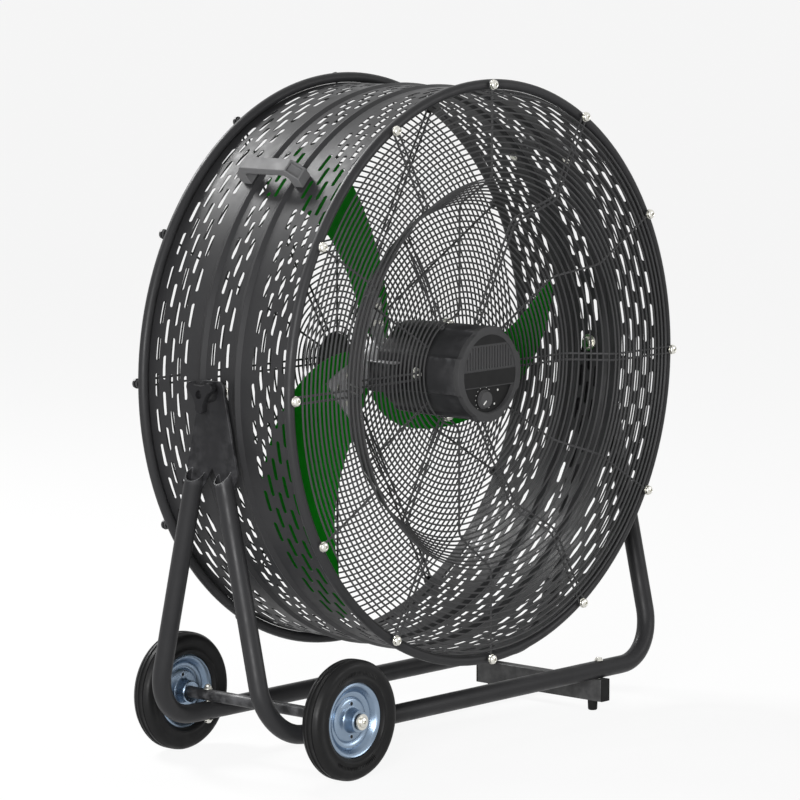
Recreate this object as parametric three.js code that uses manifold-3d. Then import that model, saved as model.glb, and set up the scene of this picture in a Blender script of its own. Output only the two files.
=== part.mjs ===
// Drum fan on a wheeled stand, as a scene graph of separate named solids.
// Units are millimetres. +Z is up, the drum's axis is parallel to Y, and the control side faces -Y.
// The origin is on the floor, below the centre of the drum.

import * as THREE from 'three';
import { mergeVertices } from 'three/addons/utils/BufferGeometryUtils.js';
import Module from 'manifold-3d';

const wasm = await Module();
wasm.setup();

// ---------------------------------------------------------------- driving dimensions

const SEAT_GAP = 0.3;             // between two pieces that touch
const SPIN_GAP = 1.5;             // beside a piece that turns

// drum
const SHELL_RADIUS = 482;         // outside of the sheet
const SHEET = 1.2;
const RIM_TUBE = 17.4;            // diameter of the rolled tube at each mouth
const RIM_RISE = 9;               // centre line of that tube above the sheet
const RIM_PLANE = 166.3;          // distance of its centre line from the drum's middle
const BEAD_PLANE = 39;            // the two stiffening beads, either side of the middle
const BEAD_HALF_WIDTH = 8;
const BEAD_HEIGHT = 4.5;
const SLOT_WIDTH = 8;
const SLOT_PITCH = 16.5;          // between rows of slots, across the drum
const MIDDLE_SLOT_ROWS = 3;
const OUTER_SLOT_ROWS = 5;        // on each side of the middle
const SLOT_EDGE_LAND = 23.1;      // from the last row's middle to the edge of the sheet

// guards
const GUARD_WIRE = 3.2;
const SPOKE_WIRE = 4;
const SPOKE_COUNT = 12;
const GUARD_STEP_OUTER = 333;     // the control side guard steps inward between these radii
const GUARD_STEP_INNER = 286;
const GUARD_STEP_DEPTH = 72;
const GUARD_MOUTH_RADIUS = 95;    // its innermost ring, round the motor
const GUARD_RIM_INSET = 8;        // outermost ring of both guards inside the sheet
const FRONT_RINGS_OUTER = 3;
const FRONT_RINGS_INNER = 3;
const REAR_RINGS = 5;
const REAR_PLATE_RADIUS = 44;
const REAR_PLATE_THICKNESS = 2;

// motor
const MOTOR_RADIUS = 76;
const MOTOR_LOBE = 5;             // four raised lobes along the housing
const MOTOR_FRONT = -163;         // along the drum's axis
const MOTOR_REAR = 17;
const MOTOR_BOLT_PLANE = -80;
const MOTOR_BOLT_COUNT = 4;
const BOLT_WASHER_RADIUS = 10.5;
const BOLT_WASHER_TOP = 3;         // above the housing's lobes
const BOLT_HEAD_RADIUS = 7;
const BOLT_HEAD_HEIGHT = 5;
const CAP_THICKNESS = 11;
const CAP_FACE_RADIUS = 67;
const CAP_POCKET_DEPTH = 8;
const CROWN_LEVEL = 51;           // heights of the dividing lines on the cap's face
const LABEL_TOP = 6;
const LABEL_BOTTOM = -20;
const LABEL_THICKNESS = 1.2;
const VENT_COUNT = 15;
const VENT_PITCH = 8;
const VENT_WIDTH = 3.6;
const VENT_DEPTH = 4;
const DIAL_RADIUS = 14;
const DIAL_SKIRT_RADIUS = 16.5;
const DIAL_HEIGHT = 8;
const DIAL_X = -9;
const DIAL_Z = -43;
const TERMINAL_BOX = [18, 61, 52];
const SHAFT_RADIUS = 12;

// impeller
const BLADE_COUNT = 3;
const BLADE_SHEET = 2.5;
const HUB_RADIUS = 34;
const HUB_FRONT = 50;
const HUB_REAR = 92;
const ARM_SHEET = 5;
// edges of the blade that points down and left, as seen from the control side: x, y, z from the hub's centre
const LEADING_EDGE = [[-55, 102, 22], [-178, 133, 9], [-254, 135, -123], [-385, 107, -344], [-108, 48, -440]];
const TRAILING_EDGE = [[-29, 78, -46], [-92, 72, -163], [-164, 66, -215], [-140, 58, -346], [-108, 48, -440]];

// stand
const STAND_TUBE = 32;
const STAND_TUBE_WALL = 2;
const STAND_LENGTH = 579;         // from the tilt axis down to the lower run, along the leaning frame
const STAND_LEAN = 13;            // degrees that each tube frame leans from upright
const STAND_BEND_RADIUS = 90;
const STAND_TUBE_TOP = 133;       // where the legs begin, measured from the tilt axis
const STAND_TUBE_SLANT = 38;      // degrees that the outer half of each leg's top is cut away
const PLATE_STANDOFF = 18;        // outer face of the side plates from the sheet of the drum
const LEG_OFFSET = 7;             // centre line of the upright legs outside that face
const PLATE_THICKNESS = 5;
const PLATE_TOP = 20;
const PLATE_BOTTOM = 128;
const PLATE_TOP_HALF_WIDTH = 28;
const PLATE_BOTTOM_HALF_WIDTH = 57;
const PLATE_CORNER = 13;
const PLATE_TONGUE = 30;          // how far the plate reaches into each slotted leg
const PIVOT_BOLT = 12;            // diameter
const PIVOT_HEAD_RADIUS = 11;
const PIVOT_HEAD_HEIGHT = 8;
const SPACER_RADIUS = 16;

// clamp knobs
const KNOB_LOBE_REACH = 32;
const KNOB_LOBE_RADIUS = 7;
const KNOB_WING_THICKNESS = 12;
const KNOB_BOSS_RADIUS = 15;
const KNOB_BOSS_LENGTH = 18;
const KNOB_POCKET_RADIUS = 7;
const KNOB_POCKET_DEPTH = 8;

// wheels
const WHEEL_RADIUS = 101;
const WHEEL_RIM_RADIUS = 63;
const TYRE_WIDTH = 38;
const WHEEL_PLANE = 194;          // middle of each wheel from the drum's middle
const AXLE_INSET = 129;           // axle from the middle of the upright legs
const AXLE_RADIUS = 10;
const WHEEL_HUB_RADIUS = 19;
const WHEEL_HUB_LENGTH = 50;
const AXLE_WASHER_RADIUS = 14;
const AXLE_WASHER_THICKNESS = 3;
const AXLE_BOLT_RADIUS = 8;
const AXLE_BOLT_HEIGHT = 5.5;
const SADDLE_BOLT_RADIUS = 4;     // upright bolts that hold the axle and the foot bar to the stand

// foot bar
const FOOT_BAR_INSET = 156;       // middle of the bar from the middle of the upright legs
const FOOT_BAR_WIDTH = 22;
const FOOT_BAR_HEIGHT = 40;
const FOOT_BAR_OVERHANG = 16.8;   // beyond the stand's tubes at each end
const BAR_WALL = 3;
const FOOT_RADIUS = 9;
const FOOT_PLUG = 14;              // how far each foot reaches up into the bar
const FOOT_INSET = 30;            // middle of each foot from the end of the bar

// handles
const HANDLE_ANGLE = 45;          // degrees either side of the top
const HANDLE_HEIGHT = 41;
const HANDLE_WIDTH = 26;
const HANDLE_BAR_HALF = 51;       // half the length of the straight grip
const HANDLE_HALF = 70;           // half the length over the feet
const HANDLE_KNEE = 20;           // height of the outer knee
const HANDLE_BAR_THICKNESS = 14;
const HANDLE_SCREW_PLANE = 61;
const HANDLE_SCREW_RADIUS = 4;

// facets
const DRUM_FACETS = 40;
const GUARD_FACETS = 24;
const WHEEL_FACETS = 24;
const TUBE_FACETS = 8;
const SMALL_FACETS = 12;

// ---------------------------------------------------------------- worked out from them

const radians = THREE.MathUtils.degToRad;
const tubeRadius = STAND_TUBE / 2;
const rimRadius = RIM_TUBE / 2;
const lean = radians(STAND_LEAN);
const axleHeight = WHEEL_RADIUS;
const runHeight = axleHeight - AXLE_RADIUS - SEAT_GAP - tubeRadius;
const pivotHeight = runHeight + STAND_LENGTH * Math.cos(lean);
const runPlane = STAND_LENGTH * Math.sin(lean);
const shellInside = SHELL_RADIUS - SHEET;
const rimCircleRadius = SHELL_RADIUS + RIM_RISE;
const guardRimRadius = SHELL_RADIUS - GUARD_RIM_INSET;
const plateOuter = SHELL_RADIUS + PLATE_STANDOFF;
const standHalfWidth = plateOuter + LEG_OFFSET;
const wheelX = AXLE_INSET - standHalfWidth;
const footBarX = standHalfWidth - FOOT_BAR_INSET;
const housingRadius = MOTOR_RADIUS + MOTOR_LOBE;
const guardPlane = RIM_PLANE + rimRadius + SEAT_GAP + SPOKE_WIRE / 2;
const barTop = runHeight - tubeRadius - SEAT_GAP;
const barBottom = barTop - FOOT_BAR_HEIGHT;
const barLength = 2 * (runPlane + FOOT_BAR_OVERHANG);
const handleFootInner = BEAD_PLANE + BEAD_HALF_WIDTH + 2 * SEAT_GAP;

// ---------------------------------------------------------------- geometry helpers

function weld(geometry) {
  const bare = geometry.index ? geometry.toNonIndexed() : geometry.clone();
  for (const name of Object.keys(bare.attributes)) {
    if (name !== 'position') bare.deleteAttribute(name);
  }
  return mergeVertices(bare, 1e-4);
}

function toSolid(geometry) {
  const welded = weld(geometry);
  const mesh = new wasm.Mesh({
    numProp: 3,
    vertProperties: new Float32Array(welded.attributes.position.array),
    triVerts: new Uint32Array(welded.index.array),
  });
  return new wasm.Manifold(mesh);
}

function toGeometry(solid) {
  const mesh = solid.getMesh();
  const geometry = new THREE.BufferGeometry();
  geometry.setAttribute('position', new THREE.BufferAttribute(mesh.vertProperties, 3));
  geometry.setIndex(new THREE.BufferAttribute(mesh.triVerts, 1));
  geometry.computeVertexNormals();
  return geometry;
}

function join(...geometries) {
  let solid = toSolid(geometries[0]);
  for (const geometry of geometries.slice(1)) solid = solid.add(toSolid(geometry));
  return toGeometry(solid);
}

function cut(geometry, ...tools) {
  let solid = toSolid(geometry);
  for (const tool of tools) solid = solid.subtract(toSolid(tool));
  return toGeometry(solid);
}

// A closed profile of [radius, y] pairs turned about the Y axis, with its faces pointing out.
function turned(profile, facets) {
  let area = 0;
  profile.forEach(([r, y], i) => {
    const [nextR, nextY] = profile[(i + 1) % profile.length];
    area += r * nextY - nextR * y;
  });
  const ordered = area > 0 ? profile : [...profile].reverse();
  const points = [...ordered, ordered[0]].map(([r, y]) => new THREE.Vector2(r, y));
  return new THREE.LatheGeometry(points, facets);
}

function disc(radius, from, to, facets = SMALL_FACETS) {
  const geometry = new THREE.CylinderGeometry(radius, radius, to - from, facets);
  return geometry.translate(0, (from + to) / 2, 0);
}

function wireRing(radius, y, wire, facets) {
  const half = wire / 2;
  return turned([[radius + half, y], [radius, y + half], [radius - half, y], [radius, y - half]], facets);
}

function box(width, depth, height, x = 0, y = 0, z = 0) {
  return new THREE.BoxGeometry(width, depth, height).translate(x, y, z);
}

function circleShape(radius, facets) {
  const shape = new THREE.Shape();
  for (let i = 0; i < facets; i += 1) {
    const angle = (2 * Math.PI * (i + 0.5)) / facets;
    const x = radius * Math.cos(angle);
    const y = radius * Math.sin(angle);
    if (i === 0) shape.moveTo(x, y);
    else shape.lineTo(x, y);
  }
  shape.closePath();
  return shape;
}

// A flat shape drawn in x and z, thickened along Y from one plane to the other.
function slabAlongY(shape, from, to, curveSegments = 6) {
  const geometry = new THREE.ExtrudeGeometry(shape, { depth: to - from, bevelEnabled: false, curveSegments });
  return geometry.rotateX(Math.PI / 2).translate(0, to, 0);
}

// A flat shape drawn in y and z, thickened along X from one plane to the other.
function slabAlongX(shape, from, to, curveSegments = 6) {
  const geometry = new THREE.ExtrudeGeometry(shape, { depth: to - from, bevelEnabled: false, curveSegments });
  return geometry.rotateX(Math.PI / 2).rotateZ(Math.PI / 2).translate(from, 0, 0);
}

// A path through given stations, each with its own direction, so that bends keep their round section.
class StationPath extends THREE.Curve {
  constructor(stations) {
    super();
    this.stations = stations;
  }

  station(u) {
    return this.stations[Math.round(u * (this.stations.length - 1))];
  }

  getPoint(t, target = new THREE.Vector3()) {
    return target.copy(this.station(t).point);
  }

  getPointAt(u, target) {
    return this.getPoint(u, target);
  }

  getTangentAt(u, target = new THREE.Vector3()) {
    return target.copy(this.station(u).direction);
  }
}

function sweep(shape, stations) {
  const path = new StationPath(stations);
  return new THREE.ExtrudeGeometry(shape, { steps: stations.length - 1, extrudePath: path, curveSegments: 1 });
}

// Stations along straight legs, with the direction halved at each corner.
function cornerStations(points) {
  return points.map((point, i) => {
    const before = points[Math.max(i - 1, 0)];
    const after = points[Math.min(i + 1, points.length - 1)];
    const arriving = point.clone().sub(before).normalize();
    const leaving = after.clone().sub(point).normalize();
    return { point, direction: arriving.add(leaving).normalize() };
  });
}

// A sheet of even thickness over a grid of points, closed along its four edges.
function sheetSolid(grid, thickness, offset = 0) {
  const rows = grid.length;
  const columns = grid[0].length;
  const positions = [];
  const pick = (i, j) => grid[THREE.MathUtils.clamp(i, 0, rows - 1)][THREE.MathUtils.clamp(j, 0, columns - 1)];
  for (const side of [0.5, -0.5]) {
    for (let i = 0; i < rows; i += 1) {
      for (let j = 0; j < columns; j += 1) {
        const along = pick(i + 1, j).clone().sub(pick(i - 1, j));
        const across = pick(i, j + 1).clone().sub(pick(i, j - 1));
        const normal = along.cross(across).normalize();
        const point = grid[i][j].clone().addScaledVector(normal, side * thickness + offset);
        positions.push(point.x, point.y, point.z);
      }
    }
  }
  const index = [];
  const face = (a, b, c, d) => index.push(a, b, c, a, c, d);
  const top = (i, j) => i * columns + j;
  const under = (i, j) => rows * columns + i * columns + j;
  for (let i = 0; i < rows - 1; i += 1) {
    for (let j = 0; j < columns - 1; j += 1) {
      face(top(i, j), top(i + 1, j), top(i + 1, j + 1), top(i, j + 1));
      face(under(i, j), under(i, j + 1), under(i + 1, j + 1), under(i + 1, j));
    }
  }
  for (let i = 0; i < rows - 1; i += 1) {
    face(top(i, 0), under(i, 0), under(i + 1, 0), top(i + 1, 0));
    face(top(i + 1, columns - 1), under(i + 1, columns - 1), under(i, columns - 1), top(i, columns - 1));
  }
  for (let j = 0; j < columns - 1; j += 1) {
    face(top(0, j + 1), under(0, j + 1), under(0, j), top(0, j));
    face(top(rows - 1, j), under(rows - 1, j), under(rows - 1, j + 1), top(rows - 1, j + 1));
  }
  const geometry = new THREE.BufferGeometry();
  geometry.setAttribute('position', new THREE.Float32BufferAttribute(positions, 3));
  geometry.setIndex(index);
  return geometry;
}

// ---------------------------------------------------------------- materials

const finish = {
  paint: { color: 0x3c3d3e, roughness: 0.5, metalness: 0.5 },
  wire: { color: 0x3a3a3b, roughness: 0.5, metalness: 0.4 },
  blade: { color: 0x0f5a14, roughness: 0.45, metalness: 0.1 },
  plastic: { color: 0x303132, roughness: 0.55, metalness: 0 },
  panel: { color: 0x121212, roughness: 0.4, metalness: 0 },
  grip: { color: 0x6a6a6b, roughness: 0.6, metalness: 0 },
  knob: { color: 0x2c2c2d, roughness: 0.6, metalness: 0 },
  rubber: { color: 0x131313, roughness: 0.75, metalness: 0 },
  zinc: { color: 0x9db4cf, roughness: 0.3, metalness: 0.9 },
  steel: { color: 0xb9b6ae, roughness: 0.35, metalness: 0.9 },
  alloy: { color: 0x8a8b8c, roughness: 0.4, metalness: 0.8 },
  bar: { color: 0x1b1b1c, roughness: 0.6, metalness: 0 },
};

const fan = new THREE.Group();
const drum = new THREE.Group();
drum.position.z = pivotHeight;
fan.add(drum);

function add(parent, name, geometry, look) {
  const mesh = new THREE.Mesh(geometry, new THREE.MeshStandardMaterial(finish[look]));
  mesh.name = name;
  parent.add(mesh);
  return mesh;
}

// ---------------------------------------------------------------- drum shell and rims

// Radius of the sheet's outside at a distance from the drum's middle.
function shellRadiusAt(y) {
  const fromBead = Math.abs(Math.abs(y) - BEAD_PLANE);
  return SHELL_RADIUS + BEAD_HEIGHT * Math.max(0, 1 - fromBead / BEAD_HALF_WIDTH);
}

const shellBreaks = [BEAD_PLANE - BEAD_HALF_WIDTH, BEAD_PLANE, BEAD_PLANE + BEAD_HALF_WIDTH, RIM_PLANE];
const middleRows = Array.from(
  { length: MIDDLE_SLOT_ROWS },
  (_, i) => (i - (MIDDLE_SLOT_ROWS - 1) / 2) * SLOT_PITCH,
);
const outerRows = Array.from({ length: OUTER_SLOT_ROWS }, (_, i) => RIM_PLANE - SLOT_EDGE_LAND - i * SLOT_PITCH);
const slotRows = [...outerRows.map((y) => -y), ...middleRows, ...outerRows.reverse()];

// Whether a facet of the sheet is open at a distance from the drum's middle. Slots alternate between facets,
// and the land that carries each pivot is whole.
function isOpen(facet, y) {
  const row = slotRows.findIndex((middle) => Math.abs(y - middle) < SLOT_WIDTH / 2);
  const fromPivot = Math.abs(((facet + 0.5) % (DRUM_FACETS / 2)) - DRUM_FACETS / 4);
  if (fromPivot < 1 && middleRows.includes(slotRows[row])) return false;
  return row >= 0 && (facet + row) % 2 === 0;
}

// The drum's sheet: facets round the Y axis in strips from one edge to the other, with walls round each slot.
function slottedSheet() {
  const slotEdges = slotRows.flatMap((y) => [y - SLOT_WIDTH / 2, y + SLOT_WIDTH / 2]);
  const planes = [...shellBreaks, ...shellBreaks.map((y) => -y), ...slotEdges].sort((a, b) => a - b);
  const positions = [];
  for (const depth of [0, SHEET]) {
    for (const y of planes) {
      for (let facet = 0; facet < DRUM_FACETS; facet += 1) {
        const angle = (2 * Math.PI * facet) / DRUM_FACETS;
        const radius = shellRadiusAt(y) - depth;
        positions.push(radius * Math.sin(angle), y, radius * Math.cos(angle));
      }
    }
  }
  const corner = (layer, strip, facet) => (layer * planes.length + strip) * DRUM_FACETS + (facet % DRUM_FACETS);
  const isSolid = (facet, strip) => {
    if (strip < 0 || strip > planes.length - 2) return false;
    return !isOpen((facet + DRUM_FACETS) % DRUM_FACETS, (planes[strip] + planes[strip + 1]) / 2);
  };
  const index = [];
  const quad = (a, b, c, d) => index.push(a, b, c, a, c, d);
  const wall = ([stripA, facetA], [stripB, facetB]) => quad(
    corner(0, stripA, facetA),
    corner(1, stripA, facetA),
    corner(1, stripB, facetB),
    corner(0, stripB, facetB),
  );
  for (let strip = 0; strip < planes.length - 1; strip += 1) {
    for (let facet = 0; facet < DRUM_FACETS; facet += 1) {
      if (!isSolid(facet, strip)) continue;
      const around = [[strip, facet], [strip, facet + 1], [strip + 1, facet + 1], [strip + 1, facet]];
      const beyond = [[facet, strip - 1], [facet + 1, strip], [facet, strip + 1], [facet - 1, strip]];
      quad(...around.map((at) => corner(0, ...at)));
      quad(...around.map((at) => corner(1, ...at)).reverse());
      beyond.forEach((cell, i) => {
        if (!isSolid(...cell)) wall(around[i], around[(i + 1) % 4]);
      });
    }
  }
  const geometry = new THREE.BufferGeometry();
  geometry.setAttribute('position', new THREE.Float32BufferAttribute(positions, 3));
  geometry.setIndex(index);
  return geometry;
}

function acrossX(geometry) {
  return geometry.rotateZ(-Math.PI / 2);
}

const pivotHoles = acrossX(disc(PIVOT_BOLT / 2 + SEAT_GAP, -rimCircleRadius, rimCircleRadius));
add(drum, 'drum_shell', cut(slottedSheet(), pivotHoles), 'paint');

const rimSection = Array.from({ length: 8 }, (_, i) => {
  const angle = (Math.PI * i) / 4;
  return [rimCircleRadius + rimRadius * Math.cos(angle), rimRadius * Math.sin(angle)];
});
for (const [name, side] of [['front_rim_tube', -1], ['rear_rim_tube', 1]]) {
  add(drum, name, turned(rimSection, DRUM_FACETS), 'paint').position.y = side * RIM_PLANE;
}

// ---------------------------------------------------------------- guards

// A spoke has a square section, as wide as its wire.
function spoke(profile, angle) {
  const points = profile.map(([r, y]) => new THREE.Vector3(r * Math.sin(angle), y, r * Math.cos(angle)));
  return sweep(circleShape(SPOKE_WIRE * Math.SQRT1_2, 4), cornerStations(points));
}

function guard(rings, profileOf) {
  const wires = rings.map(([r, y]) => wireRing(r, y, GUARD_WIRE, GUARD_FACETS));
  for (let i = 0; i < SPOKE_COUNT; i += 1) wires.push(spoke(profileOf(i), (2 * Math.PI * i) / SPOKE_COUNT));
  return join(...wires);
}

function spread(from, to, count) {
  return Array.from({ length: count }, (_, i) => from + ((to - from) * i) / (count - 1));
}

// The rings lie against the outer side of the spokes and are welded to them.
const ringSink = (SPOKE_WIRE + GUARD_WIRE) / 2 - 1;
const stepPlane = guardPlane - GUARD_STEP_DEPTH;
const frontSpoke = [
  [rimCircleRadius, -guardPlane],
  [GUARD_STEP_OUTER, -guardPlane],
  [GUARD_STEP_INNER, -stepPlane],
  [GUARD_MOUTH_RADIUS - GUARD_WIRE, -stepPlane],
];
// Spokes that meet a motor bolt bend back and end on its washer, beside its head.
const carryingSpoke = [
  ...frontSpoke,
  [
    housingRadius + BOLT_WASHER_TOP + SEAT_GAP + SPOKE_WIRE / 2,
    MOTOR_BOLT_PLANE - BOLT_HEAD_RADIUS - SPOKE_WIRE / 2,
  ],
];
const frontRings = [
  ...spread(guardRimRadius, GUARD_STEP_OUTER, FRONT_RINGS_OUTER).map((r) => [r, -guardPlane - ringSink]),
  ...spread(GUARD_STEP_INNER, GUARD_MOUTH_RADIUS, FRONT_RINGS_INNER).map((r) => [r, -stepPlane - ringSink]),
];
const meetsBolt = (i) => i % (SPOKE_COUNT / MOTOR_BOLT_COUNT) === 0;
add(drum, 'front_guard', guard(frontRings, (i) => (meetsBolt(i) ? carryingSpoke : frontSpoke)), 'wire');

const rearSpoke = [[rimCircleRadius, guardPlane], [REAR_PLATE_RADIUS - 12, guardPlane]];
const rearRings = spread(guardRimRadius, REAR_PLATE_RADIUS - 9, REAR_RINGS).map((r) => [r, guardPlane + ringSink]);
add(drum, 'rear_guard', guard(rearRings, () => rearSpoke), 'wire');
const rearPlateFrom = guardPlane + ringSink + GUARD_WIRE / 2 + SEAT_GAP;
const rearPlate = disc(REAR_PLATE_RADIUS, rearPlateFrom, rearPlateFrom + REAR_PLATE_THICKNESS, 24);
add(drum, 'rear_guard_plate', rearPlate, 'paint');

// ---------------------------------------------------------------- motor

// Round outline with four shallow lobes at the top, bottom and sides.
function lobedShape(radius, lobe) {
  const shape = new THREE.Shape();
  const facets = 48;
  for (let i = 0; i < facets; i += 1) {
    const angle = (2 * Math.PI * i) / facets;
    const fromLobe = Math.abs(((i + 6) % 12) - 6);
    const r = radius + (fromLobe < 3 ? lobe : 0);
    if (i === 0) shape.moveTo(r, 0);
    else shape.lineTo(r * Math.cos(angle), r * Math.sin(angle));
  }
  shape.closePath();
  return shape;
}

// The part of a disc between two heights.
function discBand(radius, low, high) {
  const shape = new THREE.Shape();
  const bottom = Math.asin(THREE.MathUtils.clamp(low / radius, -1, 1));
  const top = Math.asin(THREE.MathUtils.clamp(high / radius, -1, 1));
  shape.absarc(0, 0, radius, bottom, top, false);
  shape.absarc(0, 0, radius, Math.PI - top, Math.PI - bottom, false);
  shape.closePath();
  return shape;
}

const shaftBore = disc(SHAFT_RADIUS + SEAT_GAP, MOTOR_REAR - 40, MOTOR_REAR + 1, 16);
const housing = slabAlongY(lobedShape(MOTOR_RADIUS, MOTOR_LOBE), MOTOR_FRONT, MOTOR_REAR);
const motorFace = MOTOR_FRONT - SEAT_GAP - CAP_THICKNESS;
const boltHoles = Array.from({ length: MOTOR_BOLT_COUNT }, (_, i) => {
  const hole = disc(4 + SEAT_GAP, housingRadius - 12, housingRadius + 1, 8);
  return hole.rotateX(Math.PI / 2).translate(0, MOTOR_BOLT_PLANE, 0).rotateY((i * Math.PI) / 2);
});
add(drum, 'motor_housing', cut(housing, shaftBore, ...boltHoles), 'plastic');

const pocketFloor = motorFace + CAP_POCKET_DEPTH;
const ventTools = [];
for (let i = 0; i < VENT_COUNT; i += 1) {
  const x = (i - (VENT_COUNT - 1) / 2) * VENT_PITCH;
  const reach = Math.sqrt(CAP_FACE_RADIUS ** 2 - x ** 2) - 4;
  const top = Math.min(CROWN_LEVEL - 4, reach);
  const bottom = LABEL_TOP + 4;
  if (top - bottom > VENT_WIDTH) {
    ventTools.push(box(VENT_WIDTH, 2 * VENT_DEPTH, top - bottom, x, motorFace, (top + bottom) / 2));
  }
}
const cap = cut(
  slabAlongY(lobedShape(MOTOR_RADIUS + 2, MOTOR_LOBE - 1), motorFace, MOTOR_FRONT - SEAT_GAP),
  slabAlongY(discBand(CAP_FACE_RADIUS, -CAP_FACE_RADIUS, LABEL_BOTTOM - 2), motorFace - 1, pocketFloor),
  slabAlongY(discBand(CAP_FACE_RADIUS, CROWN_LEVEL, CAP_FACE_RADIUS), motorFace - 1, motorFace + 2),
  slabAlongY(discBand(CAP_FACE_RADIUS, LABEL_BOTTOM, LABEL_TOP), motorFace - 1, motorFace + 2),
  ...ventTools,
);
add(drum, 'motor_end_cap', cap, 'plastic');

const labelFloor = motorFace + 2 - SEAT_GAP;
const labelPlate = slabAlongY(
  discBand(CAP_FACE_RADIUS - 1, LABEL_BOTTOM + 1, LABEL_TOP - 1),
  labelFloor - LABEL_THICKNESS,
  labelFloor,
);
add(drum, 'rating_label', labelPlate, 'panel');

const panelFloor = pocketFloor - SEAT_GAP;
const dialPanelShape = discBand(CAP_FACE_RADIUS - 1, 1 - CAP_FACE_RADIUS, LABEL_BOTTOM - 3);
const dialPanel = slabAlongY(dialPanelShape, panelFloor - 1, panelFloor);
add(drum, 'dial_panel', dialPanel, 'panel');

const dialFrom = panelFloor - 1 - SEAT_GAP;
const dialBody = turned([
  [0, dialFrom],
  [DIAL_SKIRT_RADIUS, dialFrom],
  [DIAL_SKIRT_RADIUS, dialFrom - 2],
  [DIAL_RADIUS + 1, dialFrom - 2.5],
  [DIAL_RADIUS, dialFrom - DIAL_HEIGHT],
  [0, dialFrom - DIAL_HEIGHT],
], 24);
add(drum, 'speed_dial', dialBody, 'knob').position.set(DIAL_X, 0, DIAL_Z);

const [boxDepth, boxLength, boxHeight] = TERMINAL_BOX;
const terminalX = -(housingRadius + SEAT_GAP + boxDepth / 2);
const terminalBox = box(boxDepth, boxLength, boxHeight, terminalX, MOTOR_REAR - boxLength / 2, 17 - boxHeight / 2);
add(drum, 'terminal_box', terminalBox, 'plastic');

const shaftEnd = HUB_REAR + 6;
add(drum, 'motor_shaft', disc(SHAFT_RADIUS, MOTOR_REAR - 40 + SEAT_GAP, shaftEnd, 16), 'steel');

for (let i = 0; i < MOTOR_BOLT_COUNT; i += 1) {
  const washerTop = housingRadius + BOLT_WASHER_TOP;
  const washer = disc(BOLT_WASHER_RADIUS, housingRadius + SEAT_GAP, washerTop, 16);
  const head = disc(BOLT_HEAD_RADIUS, washerTop - 1, washerTop + BOLT_HEAD_HEIGHT, 6);
  const shank = disc(4, housingRadius - 12 + SEAT_GAP, washerTop - 1, 8);
  const bolt = join(washer, head, shank).rotateX(Math.PI / 2).translate(0, MOTOR_BOLT_PLANE, 0);
  add(drum, `motor_bolt_${i + 1}`, bolt.rotateY((i * Math.PI) / 2), 'steel');
}

// ---------------------------------------------------------------- impeller

function bezier(controls, t) {
  let points = controls.map((c) => new THREE.Vector3(...c));
  while (points.length > 1) points = points.slice(1).map((p, i) => points[i].clone().lerp(p, t));
  return points[0];
}

// Points of the blade's middle surface: along runs from root to tip, across from trailing to leading edge.
function bladeGrid(alongs, acrosses) {
  return alongs.map((t) => {
    const leading = bezier(LEADING_EDGE, t);
    const trailing = bezier(TRAILING_EDGE, t);
    return acrosses.map((s) => trailing.clone().lerp(leading, s));
  });
}

const bladeSheet = sheetSolid(bladeGrid(spread(0, 0.97, 13), spread(0, 1, 5)), BLADE_SHEET);
const armGrid = bladeGrid(spread(0.03, 0.16, 3), spread(0.2, 0.7, 3));
const armRoot = armGrid[0].map((p) => {
  const inward = new THREE.Vector2(p.x, p.z).setLength(HUB_RADIUS - 6);
  return new THREE.Vector3(inward.x, THREE.MathUtils.clamp(p.y, HUB_FRONT + 8, HUB_REAR - 8), inward.y);
});
const armSheet = sheetSolid([armRoot, ...armGrid], ARM_SHEET, -(BLADE_SHEET + ARM_SHEET) / 2 - 4 * SEAT_GAP);

const hubBore = disc(SHAFT_RADIUS + SEAT_GAP, HUB_FRONT - 1, HUB_REAR + 1, 16);
const hubSleeve = cut(disc(HUB_RADIUS, HUB_FRONT, HUB_REAR, 24), hubBore);
const arms = Array.from({ length: BLADE_COUNT }, (_, i) => armSheet.clone().rotateY((2 * Math.PI * i) / BLADE_COUNT));
add(drum, 'impeller_hub', join(hubSleeve, ...arms), 'alloy');
for (let i = 0; i < BLADE_COUNT; i += 1) {
  add(drum, `blade_${i + 1}`, bladeSheet, 'blade').rotation.y = (2 * Math.PI * i) / BLADE_COUNT;
}

// ---------------------------------------------------------------- carrying handles

// Side outline of a handle: y along the drum, height above the sheet.
function handleShape() {
  const shape = new THREE.Shape();
  const under = HANDLE_HEIGHT - HANDLE_BAR_THICKNESS;
  const outline = [
    [-handleFootInner, 0], [-handleFootInner, under - 8], [-handleFootInner + 8, under],
    [handleFootInner - 8, under], [handleFootInner, under - 8], [handleFootInner, 0],
    [HANDLE_HALF, 0], [HANDLE_HALF, HANDLE_KNEE], [HANDLE_BAR_HALF, HANDLE_HEIGHT],
    [-HANDLE_BAR_HALF, HANDLE_HEIGHT], [-HANDLE_HALF, HANDLE_KNEE], [-HANDLE_HALF, 0],
  ];
  outline.forEach(([y, h], i) => (i === 0 ? shape.moveTo(y, h) : shape.lineTo(y, h)));
  shape.closePath();
  return shape;
}

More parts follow.
